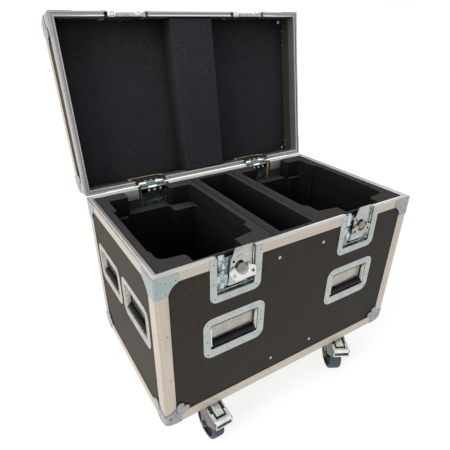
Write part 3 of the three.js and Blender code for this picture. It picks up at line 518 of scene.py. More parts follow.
def caster_rubber():
    """Slate-blue tyre rubber; its tread carries a painted reflection of the floor in brown-grey, flecked by
    dirt.
    """
    f = Finish("caster_rubber", specular=0.4)
    tread = 1 - f.band((f.part(f.flow(), 1) - 0.0180).math("ABSOLUTE"), 0.0135, 0.0155)
    grain = f.noise(1100, 4)
    dirt = f.spots(0.4, 0.72, 70, 5, 0.7)
    colour = f.mix(grain * 0.4, (0.016, 0.044, 0.085), (0.028, 0.078, 0.145),
                   # painted reflection: brown-grey of the floor on the tread; painted shade where other
                   # surfaces crowd round
                   (tread * (dirt * 0.3 + 0.65), (0.078, 0.062, 0.052)),
                   (f.hidden(0.02) * 0.7, (0.006, 0.008, 0.01)))
    return f.done(colour, 0.42 + tread * 0.22 + dirt * 0.1 + grain * 0.08,
                  grain * 0.5 + dirt * 0.5, 0.25, 0.0004)


def wheel_core():
    """Black moulded nylon of the wheel centre."""
    f = Finish("wheel_core", specular=0.15)
    grain = f.noise(1300)
    colour = f.mix(f.noise(60, 4) * 0.5, (0.003, 0.003, 0.004), (0.012, 0.012, 0.012))
    return f.done(colour, 0.5 + grain * 0.15, grain, 0.2, 0.0003)


def latch_wing(name, low, high):
    """Cast wing of a latch: satin nickel, almost like paint, faintly clouded, with painted shade in its tight
    corners.
    """
    f = Finish(name, 0.6)
    clouds = f.noise(60, 4)
    marks = f.spots(0.66, 0.78, 260, 5, 0.7)
    colour = f.mix(clouds, low, high, (marks * 0.4, shade(low, 0.6)),
                   # painted shade where other surfaces crowd round
                   (f.hidden(0.008) * 0.7, (0.04, 0.04, 0.04)))
    return f.done(colour, 0.34 + clouds * 0.12 + marks * 0.15,
                  f.noise(1000) * 0.5 + marks * 0.5, 0.1, 0.0004)


def hub_steel():
    """Worn plain steel of the latch hubs, turned and rubbed brownish, with a greyer rim."""
    f = Finish("hub_steel", 0.8)
    flow = f.flow()
    rings = f.noise(1800, 2, 0.6, (0.01, 1, 1), flow)
    clouds = f.noise(90, 4)
    colour = f.mix(clouds * 0.6 + rings * 0.4, (0.16, 0.145, 0.135), (0.40, 0.37, 0.34),
                   (f.band(f.part(flow, 1), 0.0112, 0.0122) * 0.8, (0.20, 0.22, 0.22)))
    return f.done(colour, 0.36 + rings * 0.14 + clouds * 0.12, rings, 0.15, 0.0004)


# Painted reflection: the warm tint of the angles stands for reflected warm light, and the lid flanges get a
# cooler copy of the same extrusion
ALUMINIUM = edge_aluminium("edge_aluminium", (0.40, 0.35, 0.295), (0.64, 0.575, 0.50))
COOL_ALUMINIUM = edge_aluminium("cool_aluminium", (0.31, 0.30, 0.30), (0.51, 0.495, 0.49))
# Painted light: the base rim is painted brighter and the lid rim darker, copies of one extrusion
BASE_RIM = rim_aluminium("base_rim_aluminium", 1.5, (0.0122, 0.0202), (0.0210, 0.0510))
LID_RIM_METAL = rim_aluminium("lid_rim_aluminium", 0.85, (0.0748, 0.0792), (0.0450, 0.0735))
ZINC = zinc_plate("zinc_plate", (0.34, 0.385, 0.38), (0.49, 0.52, 0.50))
# Painted light: left braces get this copy and right braces the corner copy, so the two sides differ by light
BRACE_ZINC = zinc_plate("brace_zinc", (0.30, 0.375, 0.385), (0.38, 0.445, 0.45), 0.5, 0.24)
CORNER_ZINC = zinc_plate("corner_zinc", (0.22, 0.22, 0.24), (0.40, 0.405, 0.42), 0.7, 0.2, 0.1)
# Painted shade and painted reflection: a warm reflecting floor for the handle pockets and a dark glint for
# the grip's reflection
SHADED_POCKET_ZINC = zinc_plate("pocket_zinc_painted_shade", (0.33, 0.305, 0.275), (0.47, 0.44, 0.40), roughness=0.14,
                         glint=(0.02, 0.025, 0.03))
# Painted light: a brighter, whiter copy for the pedal tops and the bail arms
LIT_PEDAL_ZINC = zinc_plate("pedal_zinc_painted_light", (0.56, 0.63, 0.64), (0.88, 0.92, 0.91), 0.4, 0.2, 0.14,
                        (0.86, 0.92, 0.93), 90, 0.45)
# A copy for the lid ball corners, with more of the painted reflection all over
LID_CORNER_ZINC = zinc_plate("lid_corner_zinc", (0.20, 0.27, 0.28), (0.38, 0.45, 0.45), 0.8, 0.2, 0.3,
                             (0.50, 0.60, 0.60), 90)
# Painted reflection: broken teal and glint over most of the latch pocket
REFLECTION_ZINC = zinc_plate("painted_reflection_zinc", (0.40, 0.46, 0.46), (0.54, 0.63, 0.65), 0.9, 0.12, 0.62,
                         (0.58, 0.68, 0.71), 78, 0.8)
HOOK_ZINC = zinc_plate("hook_zinc", (0.37, 0.385, 0.365), (0.53, 0.54, 0.51), 0.7, 0.14, 0.08, size=60)
# Painted shade: a darker copy for the hinge leaves
SHADED_HINGE_ZINC = zinc_plate("hinge_zinc_painted_shade", (0.10, 0.135, 0.145), (0.27, 0.33, 0.34), 0.9, 0.16, 0.1,
                        (0.62, 0.68, 0.68))
# Painted shade: a darker copy for the side handles
SHADED_SIDE_ZINC = zinc_plate("side_zinc_painted_shade", (0.24, 0.245, 0.225), (0.42, 0.42, 0.385), 0.9, 0.26, 0.2,
                       (0.46, 0.47, 0.42), 190, 0.5)
# Painted shade: a darker copy for the forks and the pedal flanks
SHADED_FORK_ZINC = zinc_plate("fork_zinc_painted_shade", (0.095, 0.092, 0.082), (0.19, 0.185, 0.165), roughness=0.3)
# Painted shade: a dark copy for parts in the shade under the case, and for dark sheets put where shade falls
SHADE_ZINC = zinc_plate("shaded_zinc", (0.025, 0.035, 0.040), (0.09, 0.10, 0.10), roughness=0.3)
RIVET = pop_rivet()
LAMINATE = laminate("laminate", (0.0125, 0.0115, 0.0100), (0.0205, 0.0190, 0.0170), (0.050, 0.044, 0.036))
DARK_LAMINATE = laminate("divider_laminate", (0.012, 0.012, 0.0125), (0.020, 0.020, 0.020),
                         (0.03, 0.03, 0.031))
PLY_EDGE = plywood_edge("plywood_edge", (0.16, 0.085, 0.055), (0.36, 0.23, 0.16))
# Painted light: a brighter copy of the ply edge for the lid cut-outs
LIT_PLY_EDGE = plywood_edge("lit_plywood_edge", (0.46, 0.29, 0.20), (0.80, 0.58, 0.44))
# Base foam: its upright faces get painted shade
FOAM_BASE = foam_black("foam_base", (0.0115, 0.0113, 0.0115), (0.076, 0.073, 0.072), 0.79)
FOAM_LID = foam_black("foam_lid", (0.0085, 0.0088, 0.011), (0.048, 0.049, 0.058))
GRIP = grip_rubber()
TYRE = caster_rubber()
CORE = wheel_core()
# Painted light and shade: the left wing gets a lit copy and the right one a shaded copy of the same finish
WING = {"left": latch_wing("latch_wing_painted_light", (0.62, 0.61, 0.575), (0.76, 0.75, 0.715)),
        "right": latch_wing("latch_wing_painted_shade", (0.36, 0.34, 0.29), (0.52, 0.49, 0.43))}
HUB = hub_steel()

# Boards keep their solids and get the laminate
for board in ("base_front_panel", "base_back_panel", "base_left_panel", "base_right_panel",
              "divider_left", "divider_right", "lid_wall_ring"):
    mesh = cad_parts[board].data
    mesh.materials.clear()
    mesh.materials.append(DARK_LAMINATE if board.startswith("divider") else LAMINATE)


# Extruded angles and rims

EXTRUDED = "edge_aluminium"
ANGLE = softened([(0, 0), (32, 0), (32, 1.5), (1.5, 1.5), (1.5, 32), (0, 32)], [3, .7, .7, .5, .7, .7])


def upright(name, body, sx, sy, z0, z1):
    """An angle standing on a corner of the case."""
    skin = straight(ANGLE, lambda p, q, w: (sx * (HALF_WIDTH - p), sy * (HALF_DEPTH - q), w), z0, z1)
    piece(name, body, [skin], ALUMINIUM, EDGE_FRAME[body], EXTRUDED)


def edge_rails(prefix, body, z, up):
    """The four angles round the top of the lid or the foot of the base, clear of the ball corners: up is
    1 where they stand on z."""
    clear = 33
    for name, sy in ENDS:
        skin = straight(ANGLE, lambda p, q, w: (w, sy * (HALF_DEPTH - p), z + up * q),
                        clear - HALF_WIDTH, HALF_WIDTH - clear)
        piece(f"{prefix}_{name}_angle", body, [skin], ALUMINIUM, EDGE_FRAME[body], EXTRUDED)
    for name, sx in SIDES:
        skin = straight(ANGLE, lambda p, q, w: (sx * (HALF_WIDTH - p), w, z + up * q),
                        clear - HALF_DEPTH, HALF_DEPTH - clear)
        piece(f"{prefix}_{name}_angle", body, [skin], ALUMINIUM, EDGE_FRAME[body], EXTRUDED)


# Rim profiles: inset from the outer face and height from the rim plane
BASE_FLANGE = softened([(0, -24), (0, 0), (1.5, 0), (1.5, -24)], [.6, 1.1, .2, .6])
BASE_BODY = softened(
    [(1.6, 0), (5, 0), (5, 3), (8, 3), (8, 0), (15.6, 0), (15.6, -32), (14.1, -32), (14.1, -2), (1.6, -2)],
    [.3, .5, .8, .8, .5, .8, .5, .5, .6, .3])
LID_FLANGE = softened([(0, 0), (0, 30), (1.5, 30), (1.5, 0)], [1.1, .6, .6, .2])
LID_BODY = softened(
    [(1.6, 0), (1.6, 5.1), (11.1, 5.1), (11.1, 32), (12.6, 32), (12.6, 0), (8.8, 0), (8.8, 3.6), (4.2, 3.6),
     (4.2, 0)],
    [.3, .3, .6, .5, .5, .8, .7, .5, .5, .7])


def corner_run(profile, side, front_end, back_end, z):
    """A rim profile carried from a gap in the front round one side to a gap in the back: at
    inset s its corners lie at s from both faces, so that the corners are mitred."""
    s, t = profile.T
    x = np.stack([np.full_like(s, front_end), HALF_WIDTH - s, HALF_WIDTH - s, np.full_like(s, back_end)])
    y = np.stack([s - HALF_DEPTH, s - HALF_DEPTH, HALF_DEPTH - s, HALF_DEPTH - s])
    return loft(np.stack([side * x, y, np.broadcast_to(z + t, x.shape)], axis=-1))


def rims(prefix, body, z, flange, flange_metal, core, metal, ends):
    """The hollow rim round the base or the lid: two runs round the sides, and two middles. The ends
    of the core are half widths: of the gap that it leaves in front and at the back, and of its middle."""
    front_end, back_end, middle = ends
    node = EDGE_FRAME[body]
    for name, side in SIDES:
        piece(f"{prefix}_{name}_rim_flange", body, [corner_run(flange, side, 268.8, 257.3, z)],
              flange_metal, node, EXTRUDED)
        piece(f"{prefix}_{name}_rim", body, [corner_run(core, side, front_end, back_end, z)], metal,
              node, EXTRUDED)
    for (name, sy), halves in zip(ENDS, ((127.2, middle), (141.7, 149))):
        for part, profile, half, finish in (("_flange", flange, halves[0], flange_metal),
                                            ("", core, halves[1], metal)):
            skin = straight(profile, lambda s, t, w: (w, sy * (HALF_DEPTH - s), z + t), -half, half)
            piece(f"{prefix}_{name}_middle_rim{part}", body, [skin], finish,
                  f"{prefix}_rim_{name}_middle", EXTRUDED)


# Flat braces, ball corners and rivets

def wrapped_edge(radii, places, reach, proud, thickness=1.2):
    """A strip bent round an edge: at each place along it, a path from reach on one face, round a
    quarter circle of that place's radius, to reach on the other, given a thickness inwards."""
    rings = []
    for radius, place in zip(radii, places):
        bend = arc((radius - proud, radius - proud), radius, 180, 270, 6)
        bend_in = arc((radius - proud, radius - proud), max(radius - thickness, 0.3), 270, 180, 6)
        ring = np.concatenate([[(-proud, reach)], bend, [(reach, -proud)],
                               [(reach, thickness - proud)], bend_in, [(thickness - proud, reach)]])
        rings.append(np.column_stack([ring, np.full(len(ring), float(place))]))
    return loft(np.array(rings))


def dome(place, normal, radius, height, steps=12):
    """A rivet head: circles that shrink as a quarter ellipse rises off the surface."""
    normal = np.asarray(normal, float)
    across = np.cross(normal, (0.3, 0.5, 0.81))
    across /= np.linalg.norm(across)
    other = np.cross(normal, across)
    ring = circle(1, steps)
    rings = [np.asarray(place) + normal * (height * math.sin(a))
             + radius * math.cos(a) * (ring[:, :1] * across + ring[:, 1:] * other)
             for a in np.radians([0, 25, 50, 72, 86])]
    rings.insert(0, rings[0] - normal * 0.6)
    points, faces, flow = loft(np.array(rings))
    flow[:, 2] = np.repeat([0, 0, 100, 400, 900, 1000], steps)
    return points, faces, flow


def heads(spots, depth, radius, height, steps=12, way=-1):
    """Rivet heads at places across and up a plate, at a depth, rising to the front or the back."""
    return [dome((a, depth, b), (0, way, 0), radius, height, steps) for a, b in spots]


def brace(name, body, sx, sy):
    """A flat corner brace at the rim, bent round the edge, with rivets on both faces. The lid's brace
    has a shorter leg and two rivets a face, the base's three."""
    lid = body == "lid"
    reach, foot, tip, proud, rise = (34, 34, 0.5, 1.0, 0.7) if lid else (54, 44, 4, 1.2, 0.9)
    arm = softened([(8, 0.3), (58, 0.3), (58, 24), (45, 30), (34, foot), (32, reach), (8, reach)],
                   [.3, 2, 5, 8, 8, tip, .3], 5)
    spots = [(25.4, 17.5), (49.2, 17.1), (24.9, 43.2)][:2 if lid else 3]
    skins, domes = [wrapped_edge([2.6, 2.6], [0.3, reach], 8, proud, proud)], []
    for axes in (np.eye(3), SIDEWAYS):
        skins += moved([plate(arm, -proud, -0.05, 0.5)], turn=axes)
        domes += moved(heads(spots, 0.1 - proud, 4.2, rise, 20), turn=axes)
    spot = {"place": (sx * HALF_WIDTH, sy * HALF_DEPTH, LID_RIM if lid else RIM),
            "scale": (-sx, -sy, 1 if lid else -1)}
    # painted light: the left and right braces take different zinc copies
    piece(name, body, skins, BRACE_ZINC if sx < 0 else CORNER_ZINC, EDGE_FRAME[body], **spot)
    piece(f"{name}_rivets", body, domes, RIVET, **spot)


def ball_corner(name, body, sx, sy, z, up):
    """A ball corner: a round knob over the corner, and on each face a plate with two round ears. Thin dark
    plates put painted shadows in a dent and round the leaf.
    """
    lid = body == "lid"
    ears = softened(np.concatenate([
        [(9, 9)], arc((40, 13), 4, -90, 0, 4), [(46, 19), (55, 31)], arc((58, 43), 11, -75, 100, 10),
        [(51.5, 51.5)], arc((43, 58), 11, -10, 165, 10), [(31, 55), (19, 46)],
        arc((13, 40), 4, 90, 180, 4)]), 1.5, 2)
    leaf = softened(np.concatenate([[(39, 31), (62, 33)], arc((58, 43), 10, -60, 100, 10), [(51, 51)],
                                    arc((43, 58), 10, -10, 150, 10), [(33, 62), (31, 39)]]), 2, 3)
    dent_shadow = circle(1, 24) * (6.5, 2.4) @ turning("Z", -30)[:2, :2] + (27, 13)
    skins = [lathe(arc((0, 16.6 if lid else 15.4), 20.4, -88, 88, 24), 44, "z", (18.4, 16))]
    domes, painted_shadows = [], []
    for number in range(3):
        first, second, out = np.eye(3)[[(number + 1) % 3, (number + 2) % 3, number]]
        axes = np.array([first, out, second]).T
        skins += moved([plate(ears, -1.4, -0.1, 0.6), plate(leaf, -2.05, -1.2, 0.7)], turn=axes)
        domes += moved(heads(((57, 43), (43, 57)), -1.95, 2.4, 0.1)
                       + heads(((37, 20), (20, 37)), -1.3, 2.6, 0.6), turn=axes)
        # painted shadow: thin dark plates in the dent and as a dark outline round the leaf
        painted_shadows += moved([plate(dent_shadow, -1.5, -1.3, 0.05), plate(grown(leaf, 1.1), -1.5, -1.2, 0.05)],
                         turn=axes)
        edge = wrapped_edge([9.4, 8.8, 7, 5, 3.6, 3.2], [9, 13, 17, 23, 33, 44], 9.5, 1.4)
        skins += moved([edge], turn=np.array([first, second, out]).T)
    spot = {"place": (sx * HALF_WIDTH, sy * HALF_DEPTH, z), "scale": (-sx, -sy, up)}
    piece(name, body, skins, LID_CORNER_ZINC if lid else CORNER_ZINC, EDGE_FRAME[body], **spot)
    piece(f"{name}_rivets", body, domes, RIVET, **spot)
    piece(f"{name}_hollows", body, painted_shadows, SHADE_ZINC, **spot)


# Pressed dishes

def dish_section(width, depth, proud=1, lip=((0.74, -1), (0.78, -0.5), (0.93, -0.5), (0.97, -0.2)),
                 back=((2.2,), (0.93, 1.7))):
    """Closed section of a dish in shares of its flange width and depths: flange, step, lip, wall that turns
    in by FLOOR_INSET at the floor, and back, which starts at the wall's own place."""
    step, wall, floor = 1.2 / width, 1.5 / width, FLOOR_INSET / width
    return [(0, 1.7), (0, 0.6 - proud), (step, 0.15 - proud), (2 * step, -proud), *lip, (0.995, 1.6 - proud),
            (1, 3 - proud), (1, depth - 2.5), (1 + 0.5 * step, depth - 0.8), (1 + floor, depth),
            (1 + floor, depth + 1.4), (1 - wall, depth + 0.4), (1 - wall, *back[0]), back[1], (0.5, 1.7)]


def pressed(outer, inner, section):
    """A pressed dish with an open end: its point u at (t, d) of the section is (1 - t) of the outer
    outline plus t of the inner one, at depth d. The section is carried along the outlines."""
    section = np.asarray(section)
    t, d = section[:, 0][None, :, None], section[:, 1]
    spread = (1 - t) * outer[:, None] + t * inner[:, None]
    depth = np.broadcast_to(d[None], spread.shape[:2])
    return loft(np.stack([spread[..., 0], depth, spread[..., 1]], axis=-1))


def handle(name, body, place, turn):
    """A recessed handle: a pressed dish with a riveted flange, and a sprung bail with a rubber grip. Its
    closed dish is pressed as above, and along its top a narrow groove runs ahead of its lip."""
    width, depth = 20.5, 13.5
    spot, node = {"place": place, "turn": turn}, f"{name}_dish"
    outer = rounded_box(-89, 89, -61, 61, 25, 25, 10)
    inner = rounded_box(-68.5, 68.5, -36, 37, 6, 6, 10)
    lip = ((0.78, 0), (0.82, 0.4), (0.86, 0.5), (0.87, 0.6), (0.955, 0.6), (0.965, 0.5), (0.98, 0.8))
    section = dish_section(width, depth, 0, lip, ((4.6,), (0.9, 1.9)))
    rings = np.array([lay((1 - t) * outer + t * inner, d) for t, d in section])
    rings[[7, 8, 19], :, 1] += 2.4 * np.clip((inner[:, 1] - 33) / 3, 0, 1)
    share = 1 + FLOOR_INSET / width
    floor = grown((1 - share) * outer + share * inner, 0.4)
    rivets = [(-78, 47), (78, 47), (-78, -47), (78, -47), (-79.5, -5), (79.5, -5), (-22, -49), (22, -49)]
    piece(f"{name}_rivets", "case", heads(rivets, -0.05, 3.9, 0.8, 18), RIVET, **spot)
    # painted light and shade: the pocket floor, the side handles' shells and the bail arms take painted
    # copies of the zinc
    piece(f"{name}_pocket_floor", "case", [plate(floor, 13.4, 14.8, 0.1)], SHADED_POCKET_ZINC, node, **spot)
    boss = lathe([(0.2, 62), (4.2, 62), (4.6, 62.6), (4.6, 68.3)], 20, "x", (7, 30))
    piece(f"{name}_dish_shell", "case", [loft(rings, loop=True), *both_sides([boss])],
          ZINC if turn is None else SHADED_SIDE_ZINC, node, **spot)
    arm = softened([(2.6, -30), (11.4, -30), (11.4, -14), (10.6, 34), (3.4, 34), (2.6, -14)], 4, 5)
    boss = lathe([(0.2, 63.6), (4.8, 63.6), (5.4, 64.2), (5.4, 67.6)], 20, "x", (7, -25))
    arms = both_sides([prism(arm, 64.5, 67.5), boss])
    piece(f"{name}_bail_arms", body, arms, LIT_PEDAL_ZINC, f"{name}_bail", **spot)
    x = np.array([-63.5, -63.2, -62.4, -61.4, *np.linspace(-58, 58, 9), 61.4, 62.4, 63.2, 63.5])
    swell = np.array([4.4, 5.2, 5.7, 5.95, *[6.0] * 9, 5.95, 5.7, 5.2, 4.4])
    angle = np.radians(np.arange(0, 360, 5))
    radius = swell[:, None] - 0.45 * np.clip(np.cos(angle * 12) * 2, 0, 1)[None] * (swell > 5.9)[:, None]
    grip = loft(np.stack([np.broadcast_to(x[:, None], radius.shape), 7 + radius * np.cos(angle),
                          -25 + radius * np.sin(angle)], axis=-1))
    piece(f"{name}_grip", body, [grip], GRIP, f"{name}_bail", "handle_grip", **spot)


def wing_outline():
    """Half-moon wing of a latch: ends on a circle about the hub, flat foot, and a round bite for the hub."""
    reach, notch = 36.8, 17
    left, right = arc((0, 0), reach, 188, 226, 8), arc((0, 0), reach, -46, -8, 8)
    bite = arc((0, 0), notch, 15, -195, 24)
    return grown(softened(np.concatenate([left, right, bite]), 2.2, 3), -0.15)


def latch(name, x, fold):
    """A recessed butterfly latch: open dish, hook plate, hub and folding wing."""
    title, dish, spot = f"latch_{name}", f"latch_{name}_dish", {"place": (x, -HALF_DEPTH, RIM)}
    shell = pressed(open_dish(70.5, -119, 20, -0.3), open_dish(51.5, -100, 5, -0.3), dish_section(19, 12))
    piece(f"{title}_dish_shell", "case", [shell], ZINC, dish, **spot)
    spots = [(-61, -13), (-61, -65), (-58, -106), (-19, -111), (19, -111), (56, -105), (61.5, -66), (62, -11)]
    piece(f"{title}_rivets", "case", heads(spots, -1.05, 3.7, 0.6, 18), RIVET, **spot)
    half, low = 51.5 - FLOOR_INSET, FLOOR_INSET - 100
    slots = [rounded_box(-23, 31, low + 0.8, -91, 1.5, 1.5), rounded_box(-47, -39.5, low + 1, -93, 2, 2)]
    upper = softened([(-46, -1), (-46, -40), (-22, -36), (-29, -30), (-29.5, -1)], [2, 2, 1.5, 4, 2], 4)
    lower = softened([(-47.5, -43), (-47.5, -90), (-29, -92), (-28, -78), (-19, -76), (-19, -56), (-28, -50),
                      (-28, -43)], [2, 3, 3, 3, 3, 3, 3, 2], 4)
    pocket = [plate(rounded_box(-half, half, low, -12.5, 3, 0.5), 12, 13.4, 0.1, slots),
              plate(upper, 5.5, 12.5, 1.6), plate(lower, 7.5, 12.6, 1.6),
              plate(rounded_box(47.2, 50.6, -84, -2, 1, 1), 4, 12.5, 0.8),
              *heads([(37, -94.5)], 12.1, 4.2, 2.4, 20), *heads([(47, -92)], 6, 3.4, 3, 20)]
    piece(f"{title}_dish_inside", "case", pocket, REFLECTION_ZINC, dish, **spot)

    face = softened([(-1, 7.5), (-13, -22), (-19, -88), (31, -88), (46, -70), (46, 7.5)],
                    [2, 6, 3, 3, 8, 2], 5)
    holes = [rounded_box(6.7, 21.3, -51.3, -28.7, 7.2, 7.2), circle(3.6, 20, (-4.5, -27))]
    rib = softened([(4, -16), (4, -23), (14, -26), (24, -23), (24, -16), (14, -12)], 2.5)
    lip = block(6.2, 9.9, 5, 7.4, 0.6)
    hook = [plate(face, 6, 8, 0.6, holes), prism(lip, 2, 43), plate(rib, 5, 6.2, 0.6)]
    piece(f"{title}_hook", f"{title}_hook", hook, HOOK_ZINC, f"{title}_hook_plate", **spot)

    hub_x, hub_z = 14, -44
    profile = [(0.2, -1.0), (9.4, -1.0), (10.4, -0.8), (10.9, -0.3), (11.1, 0.6), (12.0, 1.0), (12.4, 1.3),
               (12.0, 1.95), (9, 2), (8.6, 2.4), (7, 2.6), (7, 11.7), (0.2, 11.7)]
    hub = [lathe(profile, 56, "y", (hub_x, hub_z)), rod(1.5, hub_x - 22, hub_x + 22, 14, "x", (0.8, hub_z))]
    piece(f"{title}_hub", f"{title}_hub", hub, HUB, f"{title}_turn_hub", **spot)
    lug = lathe([(1.8, 17.4), (2.5, 17.4), (2.8, 17.8), (2.8, 21.6), (2.4, 22), (1.8, 22)], 18, "x")
    holes = [circle(4.3, 24, (side * 25.2, -14.4)) for side in (-1, 1)]
    wing = [plate(wing_outline(), -0.8, 0.8, 0.5, holes), *both_sides([lug])]
    wing = moved(wing, (hub_x, 0.8, hub_z), turning("X", -fold))
    piece(f"{title}_butterfly_wing", f"{title}_wing_body", wing, WING[name], f"{title}_wing", "latch_wing",
          **spot)


def catch(name, x):
    """The catch dish of a latch in the lid: open dish, back plate with ledge, and two ring ears."""
    title, spot = f"lid_catch_{name}", {"place": (x, -HALF_DEPTH, LID_RIM), "scale": (1, 1, -1)}
    spots = [(-61, -12), (-58, -58), (0, -66), (58, -58), (61, -12)]
    piece(f"{title}_rivets", "lid", heads(spots, -1.05, 3.0, 0.6), RIVET, **spot)
    shell = [pressed(open_dish(70.5, -72, 20, 0), open_dish(51.5, -60, 16, 0), dish_section(19, 12.6)),
             plate(rounded_box(-50, 50, -59, -0.2, 14, 0.5), 12.6, 14, 0.2)]
    around, tube = np.radians(np.arange(0, 360, 15)), np.radians(np.arange(0, 360, 45))[:, None]
    thick = 1.4 * np.cos(tube)
    for side in (-1, 1):
        ring = np.broadcast_arrays(side * 37.5 + (4.8 + thick) * np.cos(around),
                                   4.9 + (4.4 + thick) * np.sin(around), -9.1 - 0.8 * np.sin(tube))
        shell.append(loft(np.stack(ring, axis=-1), loop=True))
    strap = softened([(-30, 10.6), (30, 10.6), (27, 2.2), (-27, 2.2)], 1.5)
    foot = block(-33.5, 33.5, 9, 13.4, 1)
    shell += moved([plate(strap, -9.8, -8.4, 0.4), plate(foot, -9.8, -8.4, 0.3)], turn=LEVEL)
    shell += [prism(block(10.6, 14, 3.8, 7, 0.7), 0.2, 44.8), prism(block(12.6, 14, -9.6, 6.9, 0.5), -34, 45)]
    piece(f"{title}_shell", "lid", shell, ZINC, f"{title}_dish", **spot)
    lid_arch(f"lid_arch_{name}_ply_edge", x, -HALF_DEPTH, 62, 68)


def lid_arch(name, x, y, half, height, wide=0.6, depths=(1.9, 10.7)):
    """The sawn edge of a lid wall round a cut-out: a strip along a U from the rim, between two depths."""
    radius, grids = 24, []
    for less in (0, wide):
        line = open_dish(half - less, less - height, radius - less, -5.6, 10)
        grids.append(np.stack([lay(line, depth) for depth in depths], axis=1))
    piece(name, "lid", [sheet(*grids)], LIT_PLY_EDGE, None, "laminate", (x, y, LID_RIM),
          scale=(1, -np.sign(y), -1))


def hinge_leaf(name, body, x, height, pocket):
    """One leaf of a back hinge: a pressed dish open towards the rim, with knuckles on its plate. The
    base's leaf has a window, the two outer knuckles and the pin."""
    base = body == "case"
    z, centre = (RIM if base else LID_RIM), -3
    window = rounded_box(-27, 27, -50, -25, 2, 2, 4)
    back = rounded_box(-41, 41, 0.8 - pocket, -7.3, 2.5, 0.5)
    shell = [pressed(open_dish(58, -height, 8, -0.2), open_dish(42, -pocket, 3, -0.2), dish_section(16, 5)),
             plate(back, 5, 6.5, 0.2, [window] * base)]
    if base:
        shell.append(plate(grown(window, 0.6), 4.4, 5.2, 0.1))
    corners = ((-50, -14), (50, -14), (-50, 12 - height), (50, 12 - height), (0, 8 - height))
    domes = heads(((-24, -16), (-4.5, -16), (14, -16)), 6.45, 4.4, 2.4, 20, 1)
    domes += heads(corners, -1.05, 3.0, 0.6)
    web = softened([(centre - 2.2, 0), (6.5, -7), (6.5, -21), (5, -21), (centre + 2.2, 0)][::-1], 0.6)
    for x0, x1 in ((-41.6, -14.3), (14.3, 41.6)) if base else ((-14, 14),):
        knuckle = [(0.2, x0), (4.0, x0), (4.5, x0 + 0.5), (4.5, x1 - 0.5), (4.0, x1), (0.2, x1)]
        shell += [prism(web, x0, x1), lathe(knuckle, 28, "x", (centre, 0))]
    if base:
        shell.append(rod(2.6, -41, 41, 20, "x", (centre, 0)))
    spot = {"place": (x, HALF_DEPTH, z), "scale": (-1, -1, 1 if base else -1)}
    piece(f"{name}_shell", body, shell, SHADED_HINGE_ZINC, f"{name}_leaf", **spot)
    piece(f"{name}_rivets", body, domes, ALUMINIUM, **spot)
    if base:
        saw = np.array([(221.2, z - 62), (228.3, z - 62), (228.3, z - 2.2), (221.2, z - 2.2)])
        edges = [prism(saw, x + 43.0 * side, x + 43.7 * side) for side in (-1, 1)]
        piece(f"{name}_notch_edge", body, edges, PLY_EDGE, None, "laminate")
    else:
        lid_arch(f"{name}_arch_ply_edge", x, HALF_DEPTH, 58, 67, wide=6, depths=(9, 11.05))


# Casters: heights from the underside, with the wheel trailing towards the front before it is turned

TRAIL, AXLE = -41, -105
PEDAL_HALF = 25.9
PEDAL_PATH = np.array([(-33, -12), (-42, -14.2), (-60, -19), (-80, -21), (-108, -24.1), (-112.5, -25.4),
                       (-115.2, -28.4), (-116, -32), (-116, -47)])


def disc(half, middle=()):
    """A wheel part: half of its section, as radius and place across, mirrored and turned about the axle."""
    section = list(half) + list(middle) + [(r, -x) for r, x in half[::-1]]
    return lathe(section, 72, "x", (TRAIL, AXLE), loop=True)


def pedal_strip(a0, a1, s0, s1, lift):
    """A strip of the pedal: at width a and share s of the path it lies on the path's point at s,
    with its long edges bent down, and has a sheet's thickness inwards."""
    run = np.concatenate([[0], np.cumsum(np.linalg.norm(np.diff(PEDAL_PATH, axis=0), axis=1))])
    s = np.linspace(s0, s1, max(6, int((s1 - s0) * 60)))
    line = np.column_stack([np.interp(s * run[-1], run, PEDAL_PATH[:, k]) for k in (0, 1)])
    ahead = np.gradient(line, axis=0)
    ahead /= np.linalg.norm(ahead, axis=1, keepdims=True)
    out = np.column_stack([ahead[:, 1], -ahead[:, 0]])
    out *= np.sign(out[0, 1]) if abs(out[0, 1]) > 0.3 else -np.sign(out[0, 0])
    a = np.linspace(a0, a1, 13)
    fall = np.clip(1 - np.minimum(a - a0, a1 - a) / 1.2, 0, 1) ** 2 * 0.7
    faces = []
    for depth in (0.4, 2.0):
        at = line[:, None] + out[:, None] * (lift - depth - fall)[None, :, None]
        width = np.broadcast_to(a[None, :, None], at[..., :1].shape)
        faces.append(np.concatenate([width, at], axis=-1))
    return sheet(*faces)


